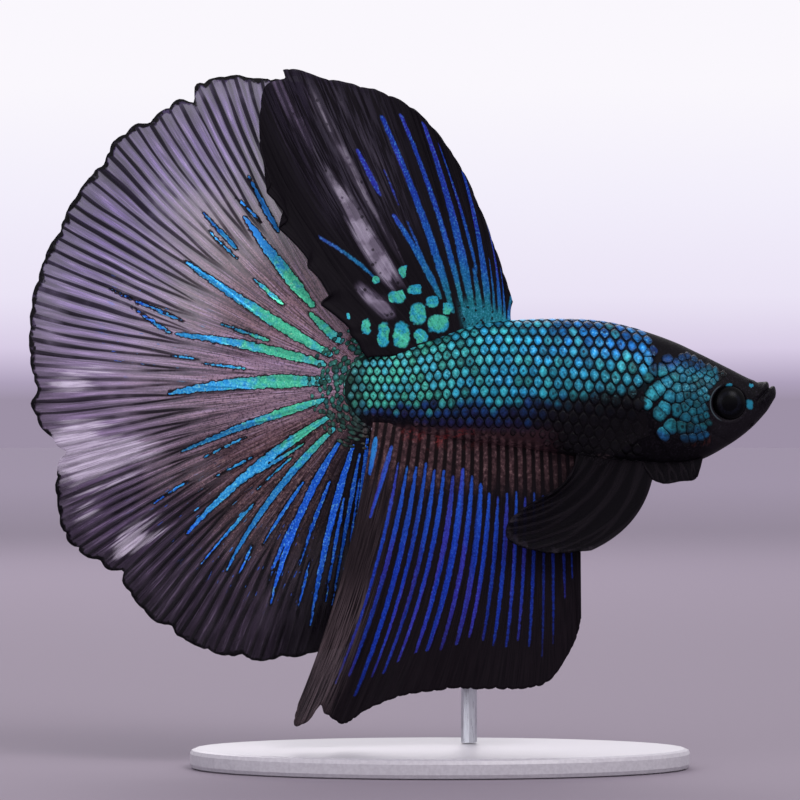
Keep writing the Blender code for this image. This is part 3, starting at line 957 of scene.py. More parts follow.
def plate_template():
    """A small domed plate: each point as (turn, share of the reach, height), and its mesh."""
    bm = bmesh.new()
    bmesh.ops.create_uvsphere(bm, u_segments=16, v_segments=4, radius=1.0)
    flat = [v.co.copy() for v in bm.verts]
    shape = [(math.atan2(co.y, co.x), math.hypot(co.x, co.y), co.z) for co in flat]
    mesh = bpy.data.meshes.new("plate")
    bm.to_mesh(mesh)
    bm.free()
    return mesh, shape


def lay_plate(bm, template, place, walls, size, bake_at, tone, rng, form=SCALE_FORM):
    """One plate: place(a, b, lift) puts its points on the body, a along it and b across."""
    dome, tilt, rounding, rim_share = form
    mesh, shape = template
    start = len(bm.verts)
    bm.from_mesh(mesh)
    bm.verts.ensure_lookup_table()
    tone_layer, rim_layer = (bm.verts.layers.float[name] for name in ("tone", "rim"))
    phase = rng.uniform(0, 6.28)
    uv = {}
    for i, (turn, share, height) in enumerate(shape):
        vert = bm.verts[start + i]
        reach = share * size * walled_reach(walls, turn, rounding)
        reach *= 1 + 0.03 * math.sin(3 * turn + phase) + 0.025 * math.sin(5 * turn - 2 * phase)
        a, b = reach * math.cos(turn), reach * math.sin(turn)
        lift = (dome if height > 0 else 0.08) * height - tilt * a / max(size, 0.1)
        vert.co = place(a, b, lift) * MM
        vert[tone_layer] = tone
        vert[rim_layer] = share * rim_share if height >= 0 else 1.0
        uv[vert] = (
            bake_at[0] + PATCH * share * math.cos(turn),
            bake_at[1] + PATCH * share * math.sin(turn),
        )
    layer = bm.loops.layers.uv["OFBake"]
    for vert in bm.verts[start:]:
        for loop in vert.link_loops:
            loop[layer].uv = uv[vert]


def on_flank(side, x, arc):
    """A place function for a plate centred at x and arc on one flank."""
    turn = turn_at(x, arc)
    ahead = section_point(x + 0.2, turn) - section_point(x - 0.2, turn)
    beside = section_point(x, turn + 0.05) - section_point(x, turn - 0.05)
    out = ahead.cross(beside).normalized()
    if out.y < 0:
        out = -out

    def place(a, b, lift):
        at = section_point(x + a, turn_at(x + a, arc + b), COAT_DEPTH) + out * lift
        return Vector((at.x, side * at.y, at.z))

    return place


def on_cheek(side, x, z):
    """A place function for a plate of the head centred at x, z as seen from the side."""

    def turn_to(at_x, at_z):
        back, belly, _ = body_section(at_x)
        waist = belly + WAIST_SHARE * (back - belly)
        height = (back if at_z > waist else belly) - waist
        share = min(abs((at_z - waist) / height), 0.98)
        return math.copysign(math.asin(share ** (SECTION_POWER / 2)), at_z - waist)

    def place(a, b, lift):
        at = skin_point(x + a, turn_to(x + a, z + b))
        return Vector((at.x, side * (at.y + lift + 0.09 * hump(x + a, 20.7, 0.6)), at.z))

    return place


def scale_bed():
    """A mesh with the layers that every scale has."""
    bm = bmesh.new()
    bm.verts.layers.float.new("tone")
    bm.verts.layers.float.new("rim")
    bm.loops.layers.uv.new("OFBake")
    return bm


def is_scaled(x, z):
    """Whether the flank's scales reach (x, z), as seen from the side."""
    off_tail = off_centre(x, z, STALK_ARC_CENTRE)
    if x < STALK_ARC_CENTRE[0] and off_tail > STALK_ARC_RADIUS - 0.25:
        return False
    over_gill = z > 40.6 and x < 21.6
    off_gill = off_centre(x, z, GILL_CENTRE)
    front = 19.6 if z < 38.6 else 21.0
    if not over_gill and (off_gill < GILL_RADIUS + 0.1 or x > front):
        return False
    under_nape = off_line(NAPE_LINE, x, z) <= -0.3
    return under_nape and not (x < 12.0 and z < anal_base(x) + 0.75)


def flank_scales(bm, template, side, rng):
    """Lays one flank's scales, and gives back where they are as seen from the side."""
    laid = []
    for row in range(-9, 10):
        shift = 0.5 * (row % 2)
        for step in range(int(column_at(-9.0)) + 1):
            x = column_x(step + shift)
            size = shrink(x)
            arc = row * ROW_PITCH * size
            up, down = arc_tables_at(x)
            if not -down[-1] + 0.15 < arc < up[-1] - 0.1:
                continue
            z = section_point(x, turn_at(x, arc)).z
            if not is_scaled(x, z):
                continue
            share = arc / (up[-1] if arc > 0 else down[-1])
            bake_at = ((x + 10) / COAT_LENGTH, 0.5 + 0.45 * share)
            worn = 1 - 0.3 * soft_step(34.6, 33.6, z) * soft_step(*BEHIND_VENT, x)
            tone = rng.random() ** 2
            place = on_flank(side, x, arc)
            lay_plate(bm, template, place, SCALE_WALLS, size * worn, bake_at, tone, rng)
            laid.append((x, z))
    return laid


SEED_FIELD = (19.0, 30.5, 31.5, 43.5)
# The part of that field which has plates, as seen from the side.
CHEEK_OUTLINE = (
    (20.6, 42.4),
    (21.4, 41.9),
    (22.2, 41.2),
    (24.6, 41.5),
    (26.3, 40.9),
    (27.5, 40.3),
    (28.6, 39.5),
    (28.2, 38.9),
    (27.0, 38.4),
    (26.5, 37.4),
    (26.5, 35.9),
    (27.1, 34.4),
    (26.4, 33.0),
    (24.8, 32.2),
    (23.8, 32.4),
    (23.55, 34.4),
    (23.3, 35.5),
    (23.1, 34.4),
    (23.0, 32.2),
    (22.0, 31.8),
    (21.2, 33.4),
    (20.35, 35.2),
    (20.15, 37.4),
    (20.5, 39.4),
    (20.3, 41.2),
)


def inside(outline, x, z):
    """Whether a point lies in a closed outline."""
    hit = False
    for (ax, az), (bx, bz) in zip(outline, outline[1:] + outline[:1], strict=True):
        if (az > z) != (bz > z) and x < (bx - ax) * (z - az) / (bz - az) + ax:
            hit = not hit
    return hit


def off_line(line, x, z):
    """How far (x, z) is above a line of points, straight up; far below where there is none."""
    for (ax, az), (bx, bz) in zip(line, line[1:], strict=False):
        if ax <= x <= bx:
            return z - az - (bz - az) * (x - ax) / (bx - ax)
    return -9.0


def cheek_seeds(rng):
    """Centres of the head's plates: leaning columns, tall behind and small by the eye."""
    seeds = []
    first_x, last_x, first_z, last_z = SEED_FIELD
    x, k = first_x, 0
    while x < last_x:
        pitch = 1.16 - 0.48 * soft_step(21.2, 25.6, x)
        tall = 1.1 + 0.55 * (1 - soft_step(21.8, 24.4, x))
        z = first_z + 0.5 * pitch * tall * (k % 2)
        while z < last_z:
            jitter = 0.17 * pitch
            lean = 0.3 * (37.4 - z)
            off_x, off_z = rng.uniform(-jitter, jitter), rng.uniform(-jitter, jitter)
            seeds.append((x + lean + off_x, z + off_z))
            z += pitch * tall
        x += 0.86 * pitch
        k += 1
    return seeds


def cheek_plates(bm, template, side, rng, laid):
    """Plates over the cheek and gill cover, which stop at the scales already laid."""
    seeds = []
    for x, z in cheek_seeds(rng):
        if min(off_centre(x, z, other) for other in laid) > 0.58:
            seeds.append((x, z))
    for x, z in seeds:
        if not inside(CHEEK_OUTLINE, x, z) or (rng.random() < 0.02 and x > 24.0):
            continue
        if off_centre(x, z, EYE_CENTRE) < EYE_RADIUS + 0.55:
            continue
        walls = [(math.pi * k / 4, 0.85 + 0.2 * (k % 4 == 2)) for k in range(8)]
        for other_x, other_z in seeds + laid:
            gap = math.hypot(other_x - x, other_z - z)
            if 0 < gap < 3.0:
                walls.append((math.atan2(other_z - z, other_x - x), gap / 2 + 0.03))
        bake_at = ((x + 10) / COAT_LENGTH, 0.5 + 0.035 * (z - 37.5))
        tone = rng.random() ** 1.6
        place = on_cheek(side, x, z)
        lay_plate(bm, template, place, walls, 1.0, bake_at, tone, rng, CHEEK_FORM)


def root_width(v):
    """How wide the tail fan is at v near its root."""
    return 7.6 + 88.0 * v


def on_tail_root(side, u, v):
    """A place function for a plate on the tail fan's root."""

    def place(a, b, lift):
        at_v = max(v - a / 33.0, 0.0)
        at = tail_point(clamp01(u + b / root_width(v)), at_v)
        at.y += side * (sail_thickness(u, at_v) / 2 + lift)
        return at

    return place


def tail_root_scales(bm, template, side, rng):
    """Small scales that thin out over the root of the tail fan."""
    for row in range(8):
        v_row = 0.024 + 0.0155 * row
        count = round(root_width(v_row) / (0.74 - 0.02 * row))
        for k in range(count):
            if rng.random() < 0.04 + 0.075 * row:
                continue
            v = max(v_row + rng.uniform(-0.005, 0.005), 0.02)
            u = clamp01((k + 0.5 * (row % 2) + rng.uniform(0.05, 0.55)) / count)
            size = 0.84 - 0.045 * row + rng.uniform(-0.14, 0.06)
            at = tail_point(u, v)
            bake_at = ((at.x + 14) / COAT_LENGTH + 0.02, 0.5 + 0.05 * (at.z - 37.9))
            tone = rng.random()
            place = on_tail_root(side, u, v)
            plate = (SCALE_WALLS, size, bake_at, tone, rng, TAIL_ROOT_FORM)
            lay_plate(bm, template, place, *plate)


def make_scales(side):
    rng = random.Random(11 + side)
    bm = scale_bed()
    template = plate_template()
    laid = flank_scales(bm, template, side, rng)
    cheek_plates(bm, template, side, random.Random(5), laid)
    tail_root_scales(bm, template, side, rng)
    bpy.data.meshes.remove(template[0])
    return finish_piece(bm, f"scales_{SIDES[side]}", scale_finish())


# ---- eyes ----
def eye_finish():
    n = Nodes("glossy_eye")
    place, x, z = n.spot()
    dx, dz = x - EYE_CENTRE[0], z - EYE_CENTRE[2]
    off = n.length(dx, dz)
    ring = n.step(off, 0.74, 0.86) * n.step(off, 1.3, 1.0)
    fleck = n.grain(place, 5.0, 3.0)
    colour = n.mix(ring * n.step(fleck, 0.4, 0.7, 0.9, 0.25), (4, 4, 6), (15, 16, 25))
    rough = n.step(fleck, 0.3, 0.7, 0.32, 0.26)
    return n.finish(Base_Color=colour, Roughness=rough, Specular_IOR_Level=0.045)


def make_eye(side):
    bm = bmesh.new()
    bmesh.ops.create_uvsphere(bm, u_segments=64, v_segments=40, radius=1.0)
    shape = Matrix.Diagonal((EYE_RADIUS, EYE_DEPTH, EYE_RADIUS, 1.0))
    bmesh.ops.transform(bm, matrix=shape @ Matrix.Rotation(math.pi / 2, 4, "X"), verts=bm.verts)
    x, y, z = EYE_CENTRE
    bmesh.ops.translate(bm, verts=bm.verts, vec=(x, side * y, z))
    bmesh.ops.scale(bm, verts=bm.verts, vec=(MM, MM, MM))
    return finish_piece(bm, f"eyeball_{SIDES[side]}", eye_finish())


# ---- fins' finishes ----
def branching(n, u, v, stems, splits, root_gap, tip_gap, wander=0.2):
    """How far a point is from the nearest branch of a ray, and from the ray's middle, in mm."""
    bend = n.grain(n.join(u * stems, v * 1.5), 1.0)
    shifted = u * stems + (bend - 0.5) * (v * wander)
    off = n.off_repeat(shifted)
    gap = root_gap + v * (tip_gap - root_gap)
    stem = off * gap
    spread = 0.25
    for start, end in splits:
        off = n.size(off - n.step(v, start, end) * spread)
        spread /= 2
    return off * gap, stem


def streak_edge(n, place, streak, wander):
    """A streak's field with a worn, toothed edge: above 0 inside it."""
    coarse = n.grain(place, 1.9, 1.0) - 0.5
    fine = n.grain(place, 5.0, 2.0, 0.6) - 0.5
    return streak + wander * (coarse + fine * 0.4)


def speckled(n, place, colour, dark, light):
    """A sheen broken into grains."""
    grain = n.grain(place, 5.0, 3.0, 0.8)
    colour = n.mix(n.step(grain, 0.5, 0.36, 0.55), colour, dark)
    return n.mix(n.step(grain, 0.53, 0.68, 0.5), colour, light)


def tail_finish():
    """A sheer membrane with dark forking rays, worn clear in places, under bright streaks."""
    n = Nodes("tail_membrane")
    place = n.place()
    u, v = n.rays()
    splits = ((0.16, 0.4), (0.3, 0.58), (0.42, 0.74))
    branch, _ = branching(n, u, v, TAIL_STEMS, splits, 0.9, 9.6)
    streak = n.field("streak")
    clear = n.field("clear")
    strand = n.streaky(u, v, 420.0, 7.0, 3.0, 0.6)
    fibre = n.streaky(u, v, 170.0, 4.0)
    patchy = n.streaky(u, v, 12.0, 5.0, 3.0)
    low = n.step(u + (patchy - 0.5) * 0.2, 0.45, 0.76)
    inner = n.step(v + (patchy - 0.5) * 0.3, 0.8, 0.48)
    speck = n.grain(place, 4.2, 3.0, 0.8)
    greyer = n.step(u, 0.32, 0.48)
    outer = n.mix(greyer, (110, 84, 154), (114, 90, 134))
    membrane = n.mix(inner, outer, (134, 102, 112))
    deep = n.mix(inner * n.step(u, 0.98, 0.7), (32, 26, 31), (66, 44, 46))
    membrane = n.mix(low * 0.85, membrane, deep)
    left = n.step(u, 0.3, 0.42) * n.step(u, 0.66, 0.56)
    pale = n.step(strand, 0.5, 0.68, 0.5 + left * 0.25, left * 0.25)
    pale = (1.0 - low * 0.7) * pale
    membrane = n.mix(pale, membrane, n.mix(greyer, (194, 168, 224), (188, 166, 200)))
    strands = n.step(v, 0.75, 0.5, 1.0, 0.35) * n.step(strand, 0.5, 0.38, 0.85)
    membrane = n.mix(strands, membrane, (26, 17, 22))
    membrane = n.mix(n.step(fibre, 0.45, 0.65, 0.5), membrane, (30, 25, 34))
    membrane = n.mix(inner * n.step(speck, 0.5, 0.38, 0.7), membrane, (34, 22, 26))
    membrane = n.mix(inner * n.step(speck, 0.54, 0.7, 0.5), membrane, (160, 132, 128))
    uneven = n.streaky(u, v, 60.0, 3.0)
    line_width = n.step(v, 0.3, 0.95, 0.16, 0.02) * n.step(uneven, 0.3, 0.7, 1.5, 0.4)
    line = n.step(branch, line_width + 0.2, line_width * 0.8)
    drawn = n.step(v, 0.3, 0.6) * n.step(patchy, 0.2, 0.5, 1.0, 0.6)
    line = line * (drawn * (1.0 - clear * 0.5))
    seams = ((0.1, 0.3), (0.22, 0.45), (0.32, 0.6), (0.42, 0.78))
    seam, _ = branching(n, u, v, TAIL_STEMS, seams, 0.9, 9.6, 0.26)
    seam = n.step(seam, 0.12, 0.04) * n.step(v, 0.25, 0.5, 0.6, 0.25)
    line = n.most(line, seam * (1.0 - clear))
    rim_at = v + (n.grain(place, 1.5) - 0.5) * 0.05
    rim = n.most(n.step(rim_at, 0.975, 0.992), n.step(rim_at, 0.86, 0.99, 0.66))
    rim = rim * n.step(clear, 0.75, 1.0, 0.12, 1.0)
    shade = n.step(u, 0.8, 0.92) * n.step(v + u * 0.2, 0.5, 0.3, 1.0, 0.95)
    dark = n.most(line * 0.96, rim, shade * 0.96)
    body = n.step(v, 0.3, 0.6, 0.52, 0.8) + n.step(v, 0.6, 0.9, 0.1)
    body = body + low * 0.3 + (patchy - 0.5) * 0.22 + (fibre - 0.5) * 0.2
    torn = clear + ((strand - 0.5) * 1.6 + (fibre - 0.5) * 1.8)
    streaky = n.step(torn, 0.3, 0.85) * n.step(clear, 0.0, 0.45)
    window = n.mix(n.step(strand, 0.4, 0.6), (160, 146, 170), (222, 210, 232))
    membrane = n.mix(streaky * 0.9, membrane, window)
    colour = n.mix(dark, membrane, BLACK)
    body = body + streaky * (0.42 - body)
    alpha = n.most(body, dark * 0.94)
    edge = streak_edge(n, place, streak, n.step(u, 0.62, 0.8, 0.22, 0.4))
    shine = n.step(edge, 0.0, 0.05)
    fleck = n.streaky(u, v, 240.0, 16.0, 2.0, 0.6)
    zone = n.step(v, 0.4, 0.55) * n.step(v, 0.85, 0.66)
    zone = zone * n.most(n.step(u, 0.6, 0.7), n.step(u, 0.3, 0.34) * n.step(u, 0.5, 0.4))
    shine = n.most(shine, zone * n.step(fleck, 0.66, 0.7))
    teeth = n.step(n.grain(place, 3.4, 1.0), 0.42, 0.6, 0.3, 0.1)
    outline = n.step(edge, teeth * -1.0, -0.06) * 0.94
    turning = v + (n.grain(place, 1.3) - 0.5) * 0.34
    tint = n.mix(n.step(turning, 0.1, 0.2), (58, 164, 172), (66, 176, 138))
    tint = n.mix(n.step(turning + u * 0.22, 0.34, 0.5), tint, (40, 134, 196))
    tint = n.mix(n.most(n.step(turning, 0.54, 0.74), n.step(u, 0.76, 0.86)), tint, (26, 84, 200))
    tint = speckled(n, place, tint, (8, 52, 92), (140, 226, 200))
    tint = n.mix(n.step(u, 0.2, 0.14) * n.step(v, 0.4, 0.55), tint, (52, 138, 224))
    # Painted glints: pale green and gold flecks on the tail's streaks.
    glint = n.step(n.grain(place, 3.1, 3.0, 0.8), 0.6, 0.7, 0.6) * n.step(u, 0.85, 0.6)
    gold = n.step(u, 0.34, 0.24) * n.step(n.grain(place, 0.6), 0.5, 0.6)
    tint = n.mix(glint, tint, n.mix(gold, (178, 232, 190), (178, 206, 104)))
    colour = n.mix(outline, colour, BLACK)
    colour = n.mix(shine, colour, tint)
    alpha = n.most(alpha, shine, outline)
    height = n.step(branch, 0.25, 0.0) + strand * 0.3
    return n.finish(
        Base_Color=colour,
        Alpha=alpha,
        Metallic=shine * 0.35,
        Roughness=n.step(shine, 0.0, 1.0, 0.36, 0.55),
        Normal=n.bump(height, 0.05),
        Specular_IOR_Level=0.06,
    )


def dark_fin_finish(name, stems, film):
    """A black fin; film is how much its membrane hides, at its root and at its tip."""
    n = Nodes(name)
    at_root, at_tip = film
    u, v = n.rays()
    place = n.place()
    branch, _ = branching(n, u, v, stems, ((0.4, 0.8),), 0.15, 0.9)
    strand = n.streaky(u, v, 120.0, 5.0, 3.0)
    line = n.step(branch, 0.1, 0.03)
    colour = n.mix(line * 0.6, BLACK, (24, 20, 25))
    colour = n.mix(n.step(strand, 0.4, 0.7, 0.6), colour, BLACK)
    pale = n.step(v, 0.88, 1.0) * n.step(n.grain(place, 1.2, 3.0), 0.5, 0.7)
    colour = n.mix(pale * 0.12, colour, (96, 88, 100))
    return n.finish(
        Base_Color=colour,
        Alpha=n.most(n.step(v, 0.2, 0.9, at_tip, at_root), line * at_tip),
        Roughness=n.step(strand, 0.2, 0.8, 0.65, 0.45),
        Normal=n.bump(line, 0.02),
        Specular_IOR_Level=0.03,
    )


def finish_dark_membrane(n, colour, alpha, shine, relief):
    return n.finish(
        Base_Color=colour,
        Alpha=n.least(alpha, 1.0),
        Metallic=shine * 0.3,
        Roughness=n.step(shine, 0.0, 1.0, 0.4, 0.55),
        Normal=relief,
        Specular_IOR_Level=0.03,
    )


# Patches at the dorsal fin's rear base: x, z, half width, half height.
DORSAL_PATCHES = (
    (-5.67, 43.3, 0.66, 1.3),
    (-3.85, 43.3, 0.88, 1.45),
    (-2.2, 45.4, 0.9, 1.15),
    (-1.9, 43.2, 0.75, 0.75),
    (-0.2, 44.4, 1.1, 1.0),
    (-7.35, 44.1, 0.5, 0.85),
    (-9.2, 45.1, 0.22, 0.4),
    (-2.5, 47.8, 0.76, 0.56),
    (-4.3, 47.1, 0.9, 0.72),
    (-3.7, 49.6, 0.45, 0.6),
    (-6.4, 48.8, 0.4, 0.45),
    (-0.8, 46.6, 0.7, 0.6),
    (0.7, 46.0, 0.5, 0.7),
)


def dorsal_finish():
    """A black membrane with smoky windows, blue streaks and turquoise patches at its base."""
    n = Nodes("dorsal_membrane")
    place, x, z = n.spot()
    u, v = n.rays()
    branch, _ = branching(n, u, v, DORSAL_STEMS, ((0.25, 0.6), (0.5, 0.9)), 0.8, 2.6)
    streak = n.field("streak")
    clear = n.field("clear")
    teal = n.field("teal")
    strand = n.streaky(u, v, 160.0, 6.0, 3.0)
    cloud = n.streaky(u, v, 26.0, 5.0, 3.0)
    colour = n.mix(n.step(strand, 0.35, 0.7, 0.6), SOOT, BLACK)
    torn = (cloud - 0.5) * 0.5 + (strand - 0.5) * 0.7
    window = n.step(clear + torn, 0.22, 0.7) * n.step(clear, 0.05, 0.3)
    rib = n.step(branch, 0.24, 0.1)
    dots = n.step(n.cells(place, 1.2), 0.26, 0.16)
    haze = n.step(n.grain(place, 0.5, 3.0), 0.38, 0.56, 1.0, 0.5)
    open_part = n.step(clear, 0.75, 1.0)
    ribbed = rib * (0.85 - open_part * 0.7)
    window = window * (1.0 - n.most(ribbed, dots * 0.8))
    window = window * n.step(strand, 0.36, 0.6, 0.4 + open_part * 0.4, 1.0)
    window = window * haze
    smoke = n.step(v, 0.3, 0.6) * (n.step(u, 0.45, 0.65) * n.step(u, 0.9, 0.78))
    smoke = smoke * n.step(strand, 0.42, 0.6)
    colour = n.mix(smoke * 0.5, colour, (52, 46, 62))
    colour = n.mix(window, colour, n.mix(open_part, (96, 84, 108), (132, 118, 144)))
    edge = streak_edge(n, place, streak, 0.2)
    base = n.step(v, 0.17, 0.1) * n.step(u, 0.5, 0.42)
    base = base * n.step(n.grain(place, 2.2), 0.64, 0.54)
    wobble = (n.grain(place, 1.6) - 0.5) * 0.7
    patch = spot_mask(n, x + wobble, z + wobble, DORSAL_PATCHES, 0.78, 2.7)
    shine = n.most(n.step(edge, -0.06, 0.12), base, patch)
    turning = v + (n.grain(place, 0.8) - 0.5) * 0.25
    tint = n.mix(n.most(teal, n.step(turning, 0.4, 0.16)), (26, 48, 140), (28, 104, 108))
    sky = n.step(turning, 0.62, 0.42) * n.step(turning, 0.1, 0.3, 0.5, 0.1)
    tint = n.mix(sky, tint, (24, 88, 160))
    violet = n.step(n.streaky(u, v, 14.0, 2.5), 0.48, 0.6) * n.step(v, 0.3, 0.5)
    tint = n.mix(violet * 0.5, tint, (54, 46, 160))
    shimmer = n.step(n.grain(place, 0.8, 3.0, 0.6), 0.42, 0.58)
    tint = n.mix(patch, tint, n.mix(shimmer, (36, 138, 168), (64, 168, 138)))
    tint = speckled(n, place, tint, (8, 30, 64), (84, 160, 200))
    colour = n.mix(shine, colour, tint)
    alpha = window * -0.42 + (0.991 - smoke * 0.09)
    alpha = alpha + (strand - 0.5) * 0.05
    alpha = n.most(alpha, shine, n.step(v, 0.95, 0.98) * 0.98)
    return finish_dark_membrane(n, colour, alpha, shine, n.bump(rib + strand * 0.4, 0.05))


def anal_finish():
    """A black membrane with blue streaks, a brown band at its base and a grey rear lobe."""
    n = Nodes("anal_membrane")
    place, x, z = n.spot()
    u, v = n.rays()
    _, stem = branching(n, u, v, ANAL_STEMS, ((0.45, 0.9),), 0.9, 1.15, 0.05)
    streak = n.field("streak")
    lobe = n.step(u, 0.8, 0.88)
    strand = n.streaky(u, v, 300.0, 6.0, 3.0)
    cloud = n.streaky(u, v, 30.0, 3.0, 3.0)
    colour = n.mix(n.step(strand, 0.35, 0.7, 0.8), (20, 15, 20), BLACK)
    grey = n.mix(n.step(strand, 0.4, 0.6), (74, 62, 67), (16, 12, 15))
    grey = n.mix(n.step(v, 0.66, 0.45, 0.75), grey, (22, 16, 20))
    colour = n.mix(lobe * 0.9, colour, grey)
    rib = n.step(stem, 0.34, 0.16)
    ridge = n.mix(rib, (16, 11, 13), (66, 46, 50))
    mottle = n.grain(place, 2.6, 3.0, 0.7)
    ridge = n.mix(n.step(mottle, 0.5, 0.36, 0.7), ridge, (20, 13, 15))
    ridge = n.mix(rib * n.step(mottle, 0.52, 0.68, 0.6), ridge, (126, 98, 100))
    front = n.step(u, 0.1, 0.2)
    band = n.step(v + (cloud - 0.5) * 0.12, 0.24, 0.1) * (front * 0.6 + 0.4)
    colour = n.mix(band * 0.85, colour, ridge)
    red = n.step(x, -4.5, -3.0) * n.step(x, 6.0, 1.0) * n.step(z, 31.5, 33.3)
    colour = flushed(n, place, colour, red, mottle)
    edge = streak_edge(n, place, streak, 0.16)
    fade = n.step(n.streaky(u, v, 40.0, 2.0), 0.3, 0.6, 1.0, 0.55)
    fade = fade * n.step(v, 0.93, 0.66, 1.0, 0.35)
    fade = fade * n.step(u - v * 0.2, 0.0, 0.4, 0.95, 0.5)
    shine = n.step(edge, -0.03, 0.1) * fade
    tint = n.mix(n.step(v, 0.2, 0.08) * n.step(u, 0.75, 0.85), ROYAL_BLUE, (44, 150, 190))
    tint = n.mix(n.step(cloud, 0.45, 0.65, 0.5), tint, (24, 60, 170))
    tint = n.mix(n.step(v, 0.5, 0.14, 0.5), tint, (42, 100, 206))
    violet = n.step(n.streaky(u, v, 20.0, 2.0), 0.48, 0.6, 0.7)
    tint = n.mix(violet, tint, (56, 46, 150))
    tint = speckled(n, place, tint, (14, 26, 92), (62, 104, 206))
    colour = n.mix(shine, colour, tint)
    alpha = 0.99 + lobe * n.step(v, 0.5, 0.9, -0.15, -0.03)
    alpha = alpha + (strand - 0.5) * lobe * 0.3
    alpha = n.most(alpha, shine, n.step(v, 0.96, 0.985))
    return finish_dark_membrane(n, colour, alpha, shine, n.bump(rib + strand * 0.3, 0.06))


# ---- streaks of colour along the rays: (u at root, u at tip, from v, to v, half width) ----
TAIL_STREAKS = (
    (0.150, 0.150, 0.24, 0.58, 0.62),
    (0.170, 0.175, 0.10, 0.23, 0.45),
    (0.268, 0.264, 0.10, 0.61, 0.55),
    (0.338, 0.375, 0.10, 0.55, 0.50),
    (0.444, 0.481, 0.09, 0.58, 0.68),
    (0.569, 0.594, 0.09, 0.57, 0.42),
    (0.694, 0.725, 0.09, 0.72, 0.50),
    (0.775, 0.800, 0.11, 0.72, 0.36),
    (0.844, 0.869, 0.13, 0.78, 0.40),
    (0.905, 0.925, 0.13, 0.87, 0.38),
    (0.938, 0.950, 0.16, 0.80, 0.24),
    (0.970, 0.975, 0.08, 0.78, 0.24),
    (0.992, 0.992, 0.12, 0.70, 0.15),
    (0.194, 0.194, 0.52, 0.67, 0.22),
    (0.206, 0.206, 0.50, 0.62, 0.14),
    (0.213, 0.213, 0.30, 0.42, 0.22),
    (0.113, 0.113, 0.49, 0.68, 0.30),
    (0.131, 0.144, 0.54, 0.65, 0.15),
    (0.350, 0.344, 0.54, 0.79, 0.14),
    (0.375, 0.356, 0.57, 0.70, 0.20),
    (0.325, 0.331, 0.28, 0.43, 0.18),
    (0.419, 0.419, 0.33, 0.46, 0.13),
    (0.412, 0.412, 0.48, 0.56, 0.11),
    (0.738, 0.713, 0.22, 0.50, 0.17),
    (0.680, 0.675, 0.38, 0.52, 0.13),
    (0.825, 0.825, 0.32, 0.58, 0.20),
    (0.881, 0.888, 0.28, 0.62, 0.22),
    (0.769, 0.769, 0.48, 0.75, 0.18),
    (0.850, 0.856, 0.46, 0.72, 0.20),
    (0.925, 0.938, 0.34, 0.78, 0.20),
    (0.620, 0.625, 0.36, 0.50, 0.12),
    (0.655, 0.660, 0.58, 0.72, 0.12),
    (0.750, 0.752, 0.28, 0.44, 0.13),
    (0.812, 0.818, 0.60, 0.74, 0.14),
    (0.900, 0.905, 0.60, 0.84, 0.16),
    (0.957, 0.962, 0.26, 0.60, 0.13),
)

DORSAL_STREAKS = (
    (0.012, 0.012, 0.0, 0.95, 0.45),
    (0.100, 0.105, 0.06, 0.80, 0.26),
    (0.163, 0.168, 0.08, 0.96, 0.50),
    (0.225, 0.222, 0.06, 0.50, 0.22),
    (0.288, 0.272, 0.08, 0.97, 0.52),
    (0.350, 0.352, 0.06, 0.30, 0.30),
    (0.340, 0.378, 0.30, 0.92, 0.26),
    (0.400, 0.422, 0.08, 0.95, 0.50),
    (0.450, 0.500, 0.08, 0.92, 0.34),
    (0.520, 0.560, 0.10, 0.88, 0.44),
    (0.575, 0.640, 0.16, 0.48, 0.38),
    (0.590, 0.602, 0.25, 0.46, 0.14),
    (0.655, 0.664, 0.56, 0.73, 0.32),
    (0.610, 0.612, 0.52, 0.66, 0.12),
    (0.825, 0.900, 0.28, 0.54, 0.20),
)


def anal_streaks():
    rng = random.Random(8)
    streaks = []
    for k in range(1, 21):
        u = (k + 0.5) / ANAL_STEMS
        start = 0.13 + 0.09 * soft_step(0.35, 0.7, 1 - u) + rng.uniform(-0.02, 0.03)
        end = 0.9 - 0.1 * hump(u, 0.45, 0.25) + rng.uniform(-0.05, 0.03)
        end -= 0.25 * soft_step(0.16, 0.06, u)
        half = 0.19 + 0.13 * hump(u, 0.58, 0.22) + rng.uniform(-0.05, 0.05)
        streaks.append((u, u + rng.uniform(-0.004, 0.004), start, end, half))
    return (*streaks, (0.975, 0.975, 0.05, 0.17, 0.3), (0.894, 0.922, 0.07, 0.3, 0.28))


def streak_field(streaks, taper=0.75):
    """A field above 0 inside the streaks and below it outside them, in mm."""

    def field(u, v, pitch, reach):
        best = np.full(u.shape, -1.0)
        for first, last, start, end, half in streaks:
            share = np.clip((v - start) / (end - start), 0, 1)
            width = half * np.minimum(0.5 + 2.2 * share, 1.0) * (1 - taper * share**2.5)
            beyond = (v - np.clip(v, start, end)) * reach
            off = np.hypot((u - first - (last - first) * share) * pitch, beyond)
            best = np.maximum(best, width - off)
        return best

    return field


def blobs(*centres):
    """A field of soft spots, each (u, v, how far in u, how far in v, strength)."""

    def field(u, v, pitch, reach):
        total = np.zeros(u.shape)
        for at_u, at_v, far_u, far_v, strength in centres:
            total += strength * np.exp(-(((u - at_u) / far_u) ** 2) - ((v - at_v) / far_v) ** 2)
        return np.clip(total, 0, 1)

    return field


